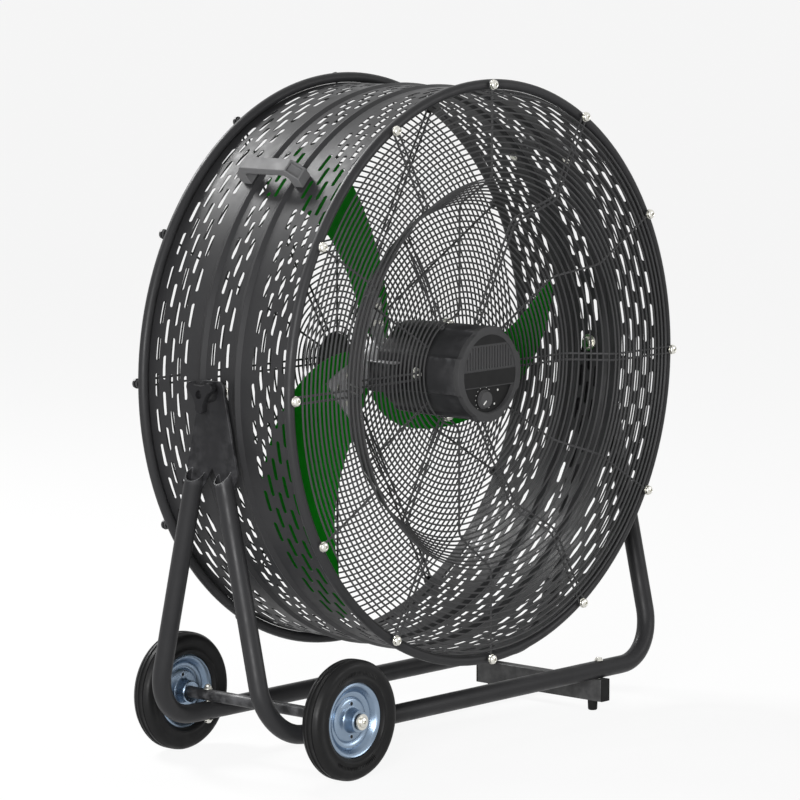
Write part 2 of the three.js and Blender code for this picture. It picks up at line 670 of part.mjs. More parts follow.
const handleBody = slabAlongX(handleShape(), -HANDLE_WIDTH / 2, HANDLE_WIDTH / 2);
const slantRun = HANDLE_HALF - HANDLE_BAR_HALF;
const slantRise = HANDLE_HEIGHT - HANDLE_KNEE;
const slant = Math.atan2(slantRise, slantRun);
const pockets = [-1, 1].map((end) => {
  const pocket = box(HANDLE_WIDTH - 7, Math.hypot(slantRun, slantRise) - 8, 24);
  const middle = (HANDLE_HALF + HANDLE_BAR_HALF) / 2;
  return pocket.rotateX(-end * slant).translate(0, end * middle, (HANDLE_HEIGHT + HANDLE_KNEE) / 2);
});
const handleGeometry = cut(handleBody, ...pockets);
const handleSeat = SHELL_RADIUS + SEAT_GAP;
for (const [name, side] of [['left_handle', -1], ['right_handle', 1]]) {
  const handle = add(drum, name, handleGeometry, 'grip');
  const angle = side * radians(HANDLE_ANGLE);
  handle.rotation.y = angle;
  handle.position.set(handleSeat * Math.sin(angle), 0, handleSeat * Math.cos(angle));
}

// ---------------------------------------------------------------- tilt pivots and clamp knobs

const knobSeat = plateOuter + SEAT_GAP;
const wingInner = knobSeat + KNOB_BOSS_LENGTH;
const wingOuter = wingInner + KNOB_WING_THICKNESS;
const pivotHead = shellInside - SEAT_GAP - 1;

function knobShape() {
  const shape = new THREE.Shape();
  const facets = 36;
  for (let i = 0; i < facets; i += 1) {
    const angle = (2 * Math.PI * i) / facets - Math.PI / 2;
    const wave = (1 + Math.cos(3 * (angle + Math.PI / 2))) / 2;
    const reach = wave ** (KNOB_LOBE_REACH / (2 * KNOB_LOBE_RADIUS));
    const r = KNOB_BOSS_RADIUS - 1 + (KNOB_LOBE_REACH - KNOB_BOSS_RADIUS + 1) * reach;
    if (i === 0) shape.moveTo(r * Math.cos(angle), r * Math.sin(angle));
    else shape.lineTo(r * Math.cos(angle), r * Math.sin(angle));
  }
  shape.closePath();
  return shape;
}

const boltBore = acrossX(disc(PIVOT_BOLT / 2 + SEAT_GAP, knobSeat - 1, wingInner + SEAT_GAP));
const knobPocket = acrossX(disc(KNOB_POCKET_RADIUS, wingOuter - KNOB_POCKET_DEPTH, wingOuter + 1, 16));
const knobBoss = acrossX(disc(KNOB_BOSS_RADIUS, knobSeat, wingInner + 1, 24));
const knobGeometry = cut(join(slabAlongX(knobShape(), wingInner, wingOuter), knobBoss), boltBore, knobPocket);

const plateShape = (() => {
  const shape = new THREE.Shape();
  shape.moveTo(-PLATE_BOTTOM_HALF_WIDTH, -PLATE_BOTTOM);
  shape.lineTo(-PLATE_TOP_HALF_WIDTH, 0);
  shape.quadraticCurveTo(-PLATE_TOP_HALF_WIDTH + 3, PLATE_TOP, -PLATE_TOP_HALF_WIDTH + PLATE_CORNER, PLATE_TOP);
  shape.lineTo(PLATE_TOP_HALF_WIDTH - PLATE_CORNER, PLATE_TOP);
  shape.quadraticCurveTo(PLATE_TOP_HALF_WIDTH - 3, PLATE_TOP, PLATE_TOP_HALF_WIDTH, 0);
  shape.lineTo(PLATE_BOTTOM_HALF_WIDTH, -PLATE_BOTTOM);
  const tongueEnd = STAND_TUBE_TOP + PLATE_TONGUE;
  const half = tubeRadius - STAND_TUBE_WALL - 1;
  const along = (side, s, across) => [
    side * (s * Math.sin(lean) + across * Math.cos(lean)),
    -s * Math.cos(lean) + across * Math.sin(lean),
  ];
  shape.lineTo(...along(1, tongueEnd, half));
  shape.lineTo(...along(1, tongueEnd, -half));
  shape.lineTo(0, -PLATE_BOTTOM + 4);
  shape.lineTo(...along(-1, tongueEnd, -half));
  shape.lineTo(...along(-1, tongueEnd, half));
  shape.closePath();
  return shape;
})();
const plateHole = acrossX(disc(PIVOT_BOLT / 2 + SEAT_GAP, plateOuter - PLATE_THICKNESS - 1, plateOuter + 1));
const plateGeometry = cut(slabAlongX(plateShape, plateOuter - PLATE_THICKNESS, plateOuter), plateHole);

const spacerFrom = SHELL_RADIUS + SEAT_GAP;
const spacerTo = plateOuter - PLATE_THICKNESS - SEAT_GAP;
const spacerGeometry = cut(
  acrossX(disc(SPACER_RADIUS, spacerFrom, spacerTo, 24)),
  acrossX(disc(PIVOT_BOLT / 2 + SEAT_GAP, spacerFrom - 1, spacerTo + 1)),
);
const pivotBolt = join(
  acrossX(disc(PIVOT_BOLT / 2, pivotHead - 1, wingInner)),
  acrossX(disc(PIVOT_HEAD_RADIUS, pivotHead - PIVOT_HEAD_HEIGHT, pivotHead, 6)),
);

for (const [side, turn] of [['right', 0], ['left', Math.PI]]) {
  add(drum, `${side}_pivot_bolt`, pivotBolt, 'steel').rotation.z = turn;
  for (const [name, geometry, look] of [
    [`${side}_pivot_spacer`, spacerGeometry, 'rubber'],
    [`${side}_side_plate`, plateGeometry, 'paint'],
    [`${side}_clamp_knob`, knobGeometry, 'knob'],
  ]) {
    const mesh = add(fan, name, geometry, look);
    mesh.rotation.z = turn;
    mesh.position.z = pivotHeight;
  }
}

// ---------------------------------------------------------------- stand tubes

// Stations of one U-shaped tube in its own plane: x across, s down from the tilt axis.
function standStations(side) {
  const place = (x, s) => new THREE.Vector3(x, side * s * Math.sin(lean), pivotHeight - s * Math.cos(lean));
  const heading = (x, s) => place(x, s).sub(place(0, 0)).normalize();
  const bendX = standHalfWidth - STAND_BEND_RADIUS;
  const bendS = STAND_LENGTH - STAND_BEND_RADIUS;
  const stations = [{ point: place(-standHalfWidth, STAND_TUBE_TOP), direction: heading(0, 1) }];
  const quarter = spread(0, Math.PI / 2, 7);
  for (const a of quarter) {
    const x = -bendX - STAND_BEND_RADIUS * Math.cos(a);
    const s = bendS + STAND_BEND_RADIUS * Math.sin(a);
    stations.push({ point: place(x, s), direction: heading(Math.sin(a), Math.cos(a)) });
  }
  for (const a of quarter) {
    const x = bendX + STAND_BEND_RADIUS * Math.sin(a);
    const s = bendS + STAND_BEND_RADIUS * Math.cos(a);
    stations.push({ point: place(x, s), direction: heading(Math.cos(a), -Math.sin(a)) });
  }
  stations.push({ point: place(standHalfWidth, STAND_TUBE_TOP), direction: heading(0, -1) });
  return stations;
}

const tubeSection = circleShape(tubeRadius, TUBE_FACETS);
tubeSection.holes.push(circleShape(tubeRadius - STAND_TUBE_WALL, TUBE_FACETS));

function uprightHole(x, y, from, to) {
  return disc(SADDLE_BOLT_RADIUS + SEAT_GAP, from, to, 8).rotateX(Math.PI / 2).translate(x, y, 0);
}

const slotWidth = PLATE_THICKNESS + 2 * SEAT_GAP;
const slotX = plateOuter - PLATE_THICKNESS / 2;
for (const [name, side] of [['front_stand_tube', -1], ['rear_stand_tube', 1]]) {
  const tube = sweep(tubeSection, standStations(side));
  const slots = [-1, 1].map((end) => {
    const middle = STAND_TUBE_TOP + PLATE_TONGUE / 2;
    return box(slotWidth, 3 * tubeRadius, PLATE_TONGUE + 2, end * slotX, 0, -middle);
  });
  const slants = [-1, 1].map((end) => {
    const wedge = box(4 * tubeRadius, 4 * tubeRadius, 2 * tubeRadius, 0, 0, tubeRadius);
    return wedge.rotateY(end * radians(STAND_TUBE_SLANT)).translate(end * plateOuter, 0, -STAND_TUBE_TOP);
  });
  const topCuts = [...slots, ...slants].map((tool) => tool.rotateX(side * lean).translate(0, 0, pivotHeight));
  const holes = [wheelX, footBarX].map((x) => {
    return uprightHole(x, side * runPlane, runHeight - tubeRadius - 1, runHeight + tubeRadius + 1);
  });
  add(fan, name, cut(tube, ...topCuts, ...holes), 'paint');
}

// ---------------------------------------------------------------- axle and wheels

const hubHalf = WHEEL_HUB_LENGTH / 2;
const axleEnd = WHEEL_PLANE + hubHalf + SPIN_GAP;
const axleHoles = [-1, 1].map((side) => uprightHole(0, side * runPlane, -AXLE_RADIUS - 1, AXLE_RADIUS + 1));
const axle = add(fan, 'axle', cut(disc(AXLE_RADIUS, -axleEnd, axleEnd, 16), ...axleHoles), 'paint');
axle.position.set(wheelX, 0, axleHeight);

const tyreHalf = TYRE_WIDTH / 2;
const tyreProfile = [
  [WHEEL_RIM_RADIUS + SEAT_GAP, -tyreHalf + 6],
  [WHEEL_RIM_RADIUS + 8, -tyreHalf + 1],
  [WHEEL_RADIUS - 12, -tyreHalf],
  [WHEEL_RADIUS - 4, -tyreHalf + 4],
  [WHEEL_RADIUS, -tyreHalf + 11],
  [WHEEL_RADIUS, tyreHalf - 11],
  [WHEEL_RADIUS - 4, tyreHalf - 4],
  [WHEEL_RADIUS - 12, tyreHalf],
  [WHEEL_RIM_RADIUS + 8, tyreHalf - 1],
  [WHEEL_RIM_RADIUS + SEAT_GAP, tyreHalf - 6],
];
const rimLip = tyreHalf - 6;
const rimProfile = [
  [AXLE_RADIUS + SEAT_GAP, -hubHalf],
  [WHEEL_HUB_RADIUS, -hubHalf],
  [WHEEL_HUB_RADIUS, -3],
  [WHEEL_RIM_RADIUS - 14, -3],
  [WHEEL_RIM_RADIUS - 7, -rimLip],
  [WHEEL_RIM_RADIUS, -rimLip],
  [WHEEL_RIM_RADIUS, rimLip],
  [WHEEL_RIM_RADIUS - 7, rimLip],
  [WHEEL_RIM_RADIUS - 14, 3],
  [WHEEL_HUB_RADIUS, 3],
  [WHEEL_HUB_RADIUS, hubHalf],
  [AXLE_RADIUS + SEAT_GAP, hubHalf],
];
const tyreGeometry = turned(tyreProfile, WHEEL_FACETS);
const rimGeometry = turned(rimProfile, WHEEL_FACETS);
const washerFrom = axleEnd + SEAT_GAP;
const axleBolt = join(
  disc(AXLE_WASHER_RADIUS, washerFrom, washerFrom + AXLE_WASHER_THICKNESS, 16),
  disc(AXLE_BOLT_RADIUS, washerFrom + 1, washerFrom + AXLE_WASHER_THICKNESS + AXLE_BOLT_HEIGHT, 6),
);
for (const [where, side] of [['front', -1], ['rear', 1]]) {
  for (const [name, geometry, look] of [['tyre', tyreGeometry, 'rubber'], ['wheel_rim', rimGeometry, 'zinc']]) {
    add(fan, `${where}_${name}`, geometry, look).position.set(wheelX, side * WHEEL_PLANE, axleHeight);
  }
  const bolt = add(fan, `${where}_axle_bolt`, axleBolt, 'steel');
  bolt.position.set(wheelX, 0, axleHeight);
  bolt.rotation.x = side < 0 ? Math.PI : 0;
}

// Upright bolt with a head above and a nut below.
function saddleBolt(bottom, top) {
  return join(
    disc(SADDLE_BOLT_RADIUS, bottom - 4, top + 1, 8),
    disc(7, bottom - 5 - SEAT_GAP, bottom - SEAT_GAP, 6),
    disc(7, top + SEAT_GAP, top + 5 + SEAT_GAP, 6),
  ).rotateX(Math.PI / 2);
}

const axleSaddleBolt = saddleBolt(runHeight - tubeRadius, axleHeight + AXLE_RADIUS);
const barSaddleBolt = saddleBolt(barTop - BAR_WALL, runHeight + tubeRadius);
for (const [where, side] of [['front', -1], ['rear', 1]]) {
  add(fan, `${where}_axle_clamp_bolt`, axleSaddleBolt, 'steel').position.set(wheelX, side * runPlane, 0);
  add(fan, `${where}_foot_bar_bolt`, barSaddleBolt, 'steel').position.set(footBarX, side * runPlane, 0);
}

// ---------------------------------------------------------------- foot bar and feet

// A channel that is open below.
const barMiddle = (barTop + barBottom) / 2;
const barBody = cut(
  box(FOOT_BAR_WIDTH, barLength, FOOT_BAR_HEIGHT, footBarX, 0, barMiddle),
  box(FOOT_BAR_WIDTH - 2 * BAR_WALL, barLength - 2 * BAR_WALL, FOOT_BAR_HEIGHT, footBarX, 0, barMiddle - BAR_WALL),
  ...[-1, 1].map((side) => uprightHole(footBarX, side * runPlane, barTop - BAR_WALL - 1, barTop + 1)),
);
add(fan, 'foot_bar', barBody, 'bar');

const footPlane = barLength / 2 - FOOT_INSET;
const plugRadius = FOOT_BAR_WIDTH / 2 - BAR_WALL - SEAT_GAP;
for (const [name, side] of [['front_foot', -1], ['rear_foot', 1]]) {
  const pad = turned([
    [0, 0],
    [FOOT_RADIUS - 1, 0],
    [FOOT_RADIUS, barBottom - SEAT_GAP],
    [plugRadius, barBottom - SEAT_GAP],
    [plugRadius, barBottom + FOOT_PLUG],
    [0, barBottom + FOOT_PLUG],
  ], SMALL_FACETS).rotateX(Math.PI / 2);
  add(fan, name, pad, 'rubber').position.set(footBarX, side * footPlane, 0);
}

// ---------------------------------------------------------------- handle screws

const screwHead = shellInside - SEAT_GAP - 1;
const handleScrew = disc(HANDLE_SCREW_RADIUS * 2, screwHead - 4, screwHead, 8).rotateX(Math.PI / 2);
for (const [handle, tilt] of [['left', -1], ['right', 1]]) {
  for (const [where, side] of [['front', -1], ['rear', 1]]) {
    const screw = add(drum, `${handle}_handle_${where}_screw`, handleScrew, 'steel');
    screw.rotation.y = tilt * radians(HANDLE_ANGLE);
    screw.position.y = side * HANDLE_SCREW_PLANE;
  }
}

export default fan;
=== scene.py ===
# Dresses the drum fan for rendering. Lengths are millimetres until a mesh is made; pieces of the
# drum are written from the drum's centre, which lies PIVOT above the floor.
import math
from math import cos, pi, radians, sin

import bpy
from mathutils import Matrix, Vector


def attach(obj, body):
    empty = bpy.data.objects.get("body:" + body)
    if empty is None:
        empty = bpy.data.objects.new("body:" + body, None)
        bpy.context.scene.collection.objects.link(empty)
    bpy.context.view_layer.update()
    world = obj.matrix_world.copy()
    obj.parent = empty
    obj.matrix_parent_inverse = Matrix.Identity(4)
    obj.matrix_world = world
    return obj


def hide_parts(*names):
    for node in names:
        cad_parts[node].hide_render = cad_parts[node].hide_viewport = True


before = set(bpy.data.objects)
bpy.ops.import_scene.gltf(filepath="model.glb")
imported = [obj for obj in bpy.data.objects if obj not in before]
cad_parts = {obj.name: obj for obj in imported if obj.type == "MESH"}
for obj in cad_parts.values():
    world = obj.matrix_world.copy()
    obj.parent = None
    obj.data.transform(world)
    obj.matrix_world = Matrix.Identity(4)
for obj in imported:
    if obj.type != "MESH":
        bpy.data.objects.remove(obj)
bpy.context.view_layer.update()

# ------------------------------------------------------------------ sizes shared with the solids
LEAN = radians(13)
STAND_LENGTH = 579
TUBE = 16                    # radius of the stand's tubes
AXLE = 10
AXLE_HEIGHT = 101
RUN_HEIGHT = AXLE_HEIGHT - AXLE - 0.3 - TUBE
PIVOT = RUN_HEIGHT + STAND_LENGTH * cos(LEAN)
RUN_PLANE = STAND_LENGTH * sin(LEAN)
SHELL = 482
SHEET = 1.2
SHELL_EDGE = 165
RIM_CIRCLE = 491
RIM_TUBE = 8.7
RIM_PLANE = 166.3
SPOKE_PLANE = 177.3
STEP_DEPTH = 72
RING_OUT = 2.6               # ring wires lie this far outside the spokes
BEAD_PLANE = 39.6
BEAD_HALF = 9
BEAD_HEIGHT = 4.5
HOUSING = 76
LOBE = 5
MOTOR_FRONT = -163
MOTOR_REAR = 17
CAP_FACE = MOTOR_FRONT - 11.3
BOLT_PLANE = -80
WHEEL_X = -378
WHEEL_PLANE = 194
BAR_X = 351
BAR_TOP = RUN_HEIGHT - TUBE - 0.3
BAR_BOTTOM = BAR_TOP - 40
BAR_HALF = RUN_PLANE + 16.8
PLATE = 500                  # outer face of the side plates
LEG_X = 507
BLADES = 3
SPOKES = 12                  # spokes and screws of each guard
MM = 1000                    # millimetres in a metre
ENDS = (("front", -1), ("rear", 1))
SIDES = (("left", -1), ("right", 1))


# ------------------------------------------------------------------ materials
BROAD_GRAIN, PATCH_GRAIN, GLOSS_GRAIN = 9, 60, 45    # noise scales of mottle, rubbed patches and gloss
NOISE_LOW, NOISE_HIGH = 0.3, 0.7                     # the span of a noise that is put to use
MIX_FACTOR, MIX_A, MIX_B, MIX_RESULT = 0, 6, 7, 2    # sockets of a Mix node that mixes colours
RELIEF = 0.0002                                      # metres


def link(tree, a, b):
    tree.links.new(a, b)


def node(tree, kind, **values):
    made = tree.nodes.new(kind)
    for key, value in values.items():
        if isinstance(key, str) and hasattr(made, key):
            setattr(made, key, value)
        else:
            made.inputs[key.replace("_", " ")].default_value = value
    return made


def ramp(tree, source, stops):
    made = tree.nodes.new("ShaderNodeValToRGB")
    elements = made.color_ramp.elements
    while len(elements) < len(stops):
        elements.new(0.5)
    for element, (place, colour) in zip(elements, stops):
        element.position = place
        element.color = (*colour, 1) if len(colour) == 3 else (colour[0],) * 3 + (1,)
    link(tree, source, made.inputs["Fac"])
    return made


def noise(tree, coords, scale, detail=4, rough=0.5):
    made = node(tree, "ShaderNodeTexNoise", Scale=scale, Detail=detail, Roughness=rough)
    link(tree, coords, made.inputs["Vector"])
    return made


def finish(name, colour, rough=0.5, metal=0.0, mottle=0.12, grain=900, bump=0.12,
           wear=None, wear_at=0.56, uneven=0.08, spec=0.5, brushed=None):
    """A procedural surface: mottled colour, uneven gloss, fine relief and rubbed edges."""
    made = bpy.data.materials.new(name)
    made.use_nodes = True
    tree = made.node_tree
    shader = tree.nodes["Principled BSDF"]
    shader.inputs["Metallic"].default_value = metal
    shader.inputs["Specular IOR Level"].default_value = spec
    coords = tree.nodes.new("ShaderNodeTexCoord").outputs["Object"]
    if brushed:
        stretch = node(tree, "ShaderNodeMapping")
        stretch.inputs["Scale"].default_value = brushed
        link(tree, coords, stretch.inputs["Vector"])
        fine = noise(tree, stretch.outputs["Vector"], grain)
    else:
        fine = noise(tree, coords, grain)
    broad = noise(tree, coords, BROAD_GRAIN, 5, 0.6)
    low = [c * (1 - mottle) for c in colour]
    high = [min(1, c * (1 + mottle)) for c in colour]
    tint = ramp(tree, broad.outputs["Fac"], [(NOISE_LOW, low), (NOISE_HIGH, high)])
    base = tint.outputs["Color"]
    if wear:
        point = tree.nodes.new("ShaderNodeNewGeometry").outputs["Pointiness"]
        edge = ramp(tree, point, [(wear_at - 0.03, (0.0,)), (wear_at + 0.05, (1.0,))])
        patches = noise(tree, coords, PATCH_GRAIN)
        patchy = ramp(tree, patches.outputs["Fac"], [(0.4, (0.0,)), (0.65, (1.0,))])
        amount = node(tree, "ShaderNodeMath", operation="MULTIPLY")
        link(tree, edge.outputs["Color"], amount.inputs[0])
        link(tree, patchy.outputs["Color"], amount.inputs[1])
        rubbed = node(tree, "ShaderNodeMix", data_type="RGBA")
        rubbed.inputs[MIX_B].default_value = (*wear, 1)
        link(tree, amount.outputs["Value"], rubbed.inputs[MIX_FACTOR])
        link(tree, base, rubbed.inputs[MIX_A])
        base = rubbed.outputs[MIX_RESULT]
    link(tree, base, shader.inputs["Base Color"])
    gloss = node(tree, "ShaderNodeMapRange")
    gloss.inputs["From Min"].default_value = NOISE_LOW
    gloss.inputs["From Max"].default_value = NOISE_HIGH
    gloss.inputs["To Min"].default_value = max(0.03, rough - uneven)
    gloss.inputs["To Max"].default_value = min(1.0, rough + uneven)
    link(tree, noise(tree, coords, GLOSS_GRAIN).outputs["Fac"], gloss.inputs["Value"])
    link(tree, gloss.outputs["Result"], shader.inputs["Roughness"])
    relief = node(tree, "ShaderNodeBump", Strength=bump, Distance=RELIEF)
    link(tree, fine.outputs["Fac"], relief.inputs["Height"])
    link(tree, relief.outputs["Normal"], shader.inputs["Normal"])
    return made


RUB = (0.12, 0.12, 0.125)    # rubbed edges of the powder coat
paint = finish("drum_powder_coat", (0.021, 0.021, 0.022), 0.43, mottle=0.1, grain=700, bump=0.25,
               wear=RUB, spec=0.14)
stand_paint = finish("stand_powder_coat", (0.018, 0.018, 0.019), 0.42, mottle=0.1, grain=800, bump=0.22,
                     wear=RUB, spec=0.14)
plate_paint = finish("plate_powder_coat", (0.013, 0.013, 0.014), 0.5, mottle=0.1, grain=800, bump=0.22,
                     wear=RUB, spec=0.1)
wire_paint = finish("guard_wire_coat", (0.034, 0.034, 0.035), 0.48, grain=1500, bump=0.1, spec=0.2)
blade_paint = finish("blade_green_paint", (0.003, 0.150, 0.005), 0.5, mottle=0.08, grain=500,
                     wear=(0.03, 0.20, 0.03), wear_at=0.62, spec=0.03)
motor_paint = finish("motor_shell_paint", (0.016, 0.016, 0.017), 0.55, bump=0.35, wear=RUB, spec=0.15)
cap_plastic = finish("motor_cap_plastic", (0.036, 0.036, 0.037), 0.6, mottle=0.08, grain=1400, bump=0.3,
                     spec=0.15)
panel_black = finish("face_panel_black", (0.006, 0.006, 0.0062), 0.5, mottle=0.2, grain=1600, bump=0.1,
                     spec=0.12)
# Painted shade: a dark finish for the wheel dishes' rivet holes.
hole_shade_paint = finish("vent_shadow", (0.012, 0.012, 0.012), 0.7, mottle=0.1, bump=0.2, spec=0.12)
mark_white = finish("scale_marks", (0.62, 0.62, 0.6), 0.5, mottle=0.05, grain=1200, bump=0.1)
grip_plastic = finish("handle_plastic", (0.105, 0.105, 0.107), 0.6, mottle=0.06, grain=1800, bump=0.35,
                      wear=(0.2, 0.2, 0.2), wear_at=0.6, spec=0.2)
knob_plastic = finish("knob_plastic", (0.013, 0.013, 0.014), 0.5, mottle=0.1, grain=1500, bump=0.4,
                      wear=(0.05, 0.05, 0.05), wear_at=0.6, spec=0.1)
dial_plastic = finish("dial_plastic", (0.045, 0.045, 0.046), 0.55, mottle=0.08, grain=1500, bump=0.25,
                      spec=0.2)
tyre_rubber = finish("tyre_rubber", (0.008, 0.008, 0.0082), 0.45, mottle=0.2, grain=600, bump=0.3,
                     wear=(0.025, 0.025, 0.025), uneven=0.12, spec=0.12)
foot_rubber = finish("foot_rubber", (0.010, 0.010, 0.010), 0.7, mottle=0.2, bump=0.4, spec=0.12)
zinc = finish("blue_zinc_plate", (0.24, 0.31, 0.40), 0.3, 1.0, mottle=0.18, grain=260,
              wear=(0.5, 0.56, 0.64), wear_at=0.6)
steel = finish("bright_zinc_steel", (0.66, 0.65, 0.60), 0.27, 1.0, grain=420, bump=0.15)
alloy = finish("spider_aluminium", (0.36, 0.36, 0.37), 0.5, 0.5, mottle=0.14, grain=500, bump=0.2,
               brushed=(1, 6, 1))
dark_steel = finish("dark_screw_steel", (0.03, 0.03, 0.031), 0.4, 0.6, mottle=0.15, grain=700, bump=0.15)


# ------------------------------------------------------------------ shapes: lists of points and faces
def merge(*shapes):
    points, faces = [], []
    for ps, fs in shapes:
        base = len(points)
        points.extend(ps)
        faces.extend(tuple(base + i for i in f) for f in fs)
    return points, faces


def moved(shape, matrix):
    return [matrix @ Vector(p) for p in shape[0]], shape[1]


def shifted(shape, x=0.0, y=0.0, z=0.0):
    return [(p[0] + x, p[1] + y, p[2] + z) for p in shape[0]], shape[1]


def about(axis, angle):
    return Matrix.Rotation(angle, 4, axis)


def half_turn_if(needed):
    """A half turn about the upright axis, or none."""
    return about("Z", pi) if needed else Matrix.Identity(4)


def turned(profile, segments, closed=True, start=0.0):
    """A profile of (radius, y) turned about Y. closed joins the profile's ends; else they lie on the axis."""
    points, rings = [], []
    for r, y in profile:
        if r < 1e-6:
            rings.append([len(points)] * segments)
            points.append((0.0, y, 0.0))
            continue
        first = len(points)
        for k in range(segments):
            a = start + 2 * pi * k / segments
            points.append((r * sin(a), y, r * cos(a)))
        rings.append(list(range(first, first + segments)))
    faces = []
    count = len(rings)
    for i in range(count if closed else count - 1):
        a, b = rings[i], rings[(i + 1) % count]
        for k in range(segments):
            n = (k + 1) % segments
            quad = [a[k], a[n], b[n], b[k]]
            quad = [q for j, q in enumerate(quad) if q != quad[j - 1]]
            if len(quad) > 2:
                faces.append(tuple(quad))
    area = sum(p[0] * q[1] - q[0] * p[1] for p, q in zip(profile, profile[1:] + profile[:1]))
    if area < 0:
        faces = [tuple(reversed(f)) for f in faces]
    return points, faces


def circle(radius, sides, start=0.0):
    return [(radius * cos(start + 2 * pi * i / sides), radius * sin(start + 2 * pi * i / sides))
            for i in range(sides)]


def ring(radius, y, wire, segments=120, sides=8):
    return turned([(radius + a, y + b) for a, b in circle(wire, sides)], segments)


def rod(radius, low, high, segments=32, bevel=0.6):
    """A round bar along Y with small chamfers."""
    b = min(bevel, radius / 2, (high - low) / 2.1)
    return turned([(0, low), (radius - b, low), (radius, low + b), (radius, high - b), (radius - b, high),
                   (0, high)], segments, closed=False)


def pipe(path, radius, sides=10, closed=False, hollow=0.0):
    """A round wire along points. hollow leaves open ends with that inner radius."""
    pts = [Vector(p) for p in path]
    count = len(pts)
    heads = []
    for i in range(count):
        before = pts[i - 1] if (closed or i) else pts[0]
        after = pts[(i + 1) % count] if (closed or i < count - 1) else pts[-1]
        heads.append((after - before).normalized())
    up = heads[0].orthogonal().normalized()
    frames = []
    for i in range(count):
        up = (up - heads[i] * up.dot(heads[i])).normalized()
        frames.append((up.copy(), heads[i].cross(up)))
    points, faces = [], []
    radii = [radius] + ([hollow] if hollow else [])
    for r in radii:
        for p, (u, v) in zip(pts, frames):
            points.extend(p + u * (r * cos(2 * pi * k / sides)) + v * (r * sin(2 * pi * k / sides))
                          for k in range(sides))
    for layer in range(len(radii)):
        base = layer * count * sides
        for i in range(count if closed else count - 1):
            j = (i + 1) % count
            for k in range(sides):
                n = (k + 1) % sides
                quad = (base + i * sides + k, base + i * sides + n, base + j * sides + n, base + j * sides + k)
                faces.append(quad if layer == 0 else tuple(reversed(quad)))
    if not closed:
        for i, flip in ((0, True), (count - 1, False)):
            loop = [i * sides + k for k in range(sides)]
            if hollow:
                inner = [count * sides + q for q in loop]
                for k in range(sides):
                    n = (k + 1) % sides
                    quad = (loop[k], loop[n], inner[n], inner[k])
                    faces.append(tuple(reversed(quad)) if flip else quad)
            else:
                faces.append(tuple(reversed(loop)) if flip else tuple(loop))
    return points, faces


def loft(sections):
    """Sections of (y, loop of (x, z) points) joined in order, with flat ends."""
    n = len(sections[0][1])
    points = [(x, y, z) for y, loop in sections for x, z in loop]
    faces = [tuple(range(n)), tuple(reversed(range(n * (len(sections) - 1), n * len(sections))))]
    for s in range(len(sections) - 1):
        for i in range(n):
            j = (i + 1) % n
            faces.append((s * n + j, s * n + i, (s + 1) * n + i, (s + 1) * n + j))
    return points, faces


def prism(outline, low, high):
    """An outline of (x, z) points, counter-clockwise seen from -Y, between two planes across Y."""
    return loft([(low, outline), (high, outline)])


def block(left, right, bottom, top, low, high):
    """A box from left to right in X, bottom to top in Z and low to high in Y."""
    return prism([(left, bottom), (right, bottom), (right, top), (left, top)], low, high)


def across_x(outline, low, high):
    """An outline of (y, z), clockwise seen from +X, between two planes across X."""
    points, faces = prism(outline, low, high)
    return [(y, x, z) for x, y, z in points], faces


def sheet(grid, thickness):
    """A grid of points made into a plate of even thickness with closed edges."""
    rows, cols = len(grid), len(grid[0])
    grid = [[Vector(p) for p in row] for row in grid]
    points = []
    for side in (0.5, -0.5):
        for i in range(rows):
            for j in range(cols):
                along = grid[min(i + 1, rows - 1)][j] - grid[max(i - 1, 0)][j]
                across = grid[i][min(j + 1, cols - 1)] - grid[i][max(j - 1, 0)]
                points.append(grid[i][j] + along.cross(across).normalized() * side * thickness)
    faces = []
    half = rows * cols
    at = lambda i, j: i * cols + j
    for i in range(rows - 1):
        for j in range(cols - 1):
            faces.append((at(i, j), at(i + 1, j), at(i + 1, j + 1), at(i, j + 1)))
            faces.append(tuple(half + q for q in (at(i, j), at(i, j + 1), at(i + 1, j + 1), at(i + 1, j))))
    edge = [at(i, 0) for i in range(rows)] + [at(rows - 1, j) for j in range(1, cols)]
    edge += [at(i, cols - 1) for i in range(rows - 2, -1, -1)] + [at(0, j) for j in range(cols - 2, 0, -1)]
    for a, b in zip(edge, edge[1:] + edge[:1]):
        faces.append((b, a, half + a, half + b))
    return points, faces


def mesh_of(name, shape, lift):
    """A mesh in metres, its points raised by lift."""
    mesh = bpy.data.meshes.new(name)
    mesh.from_pydata([(p[0] / MM, p[1] / MM, (p[2] + lift) / MM) for p in shape[0]], [], shape[1])
    return mesh


def shade(mesh, sharp):
    """Smooth faces, but for the edges that turn by more than so many degrees."""
    mesh.polygons.foreach_set("use_smooth", [True] * len(mesh.polygons))
    mesh.set_sharp_from_angle(angle=radians(sharp))


def added(name, data):
    made = bpy.data.objects.new(name, data)
    bpy.context.scene.collection.objects.link(made)
    return made


SHARP = 35                   # degrees
BEVEL_FROM = 40              # degrees
BEVEL_SEGMENTS = 2


def piece(name, shape, material, body, stands_for=(), lift=PIVOT, bevel=0.0, sharp=SHARP):
    mesh = mesh_of(name, shape, lift)
    mesh.materials.append(material)
    shade(mesh, sharp)
    made = added(name, mesh)
    if bevel:
        rounder = made.modifiers.new("rounded_edges", "BEVEL")
        rounder.width = bevel / MM
        rounder.segments = BEVEL_SEGMENTS
        rounder.limit_method = "ANGLE"
        rounder.angle_limit = radians(BEVEL_FROM)
    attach(made, body)
    if stands_for:
        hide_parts(*stands_for)
    return made


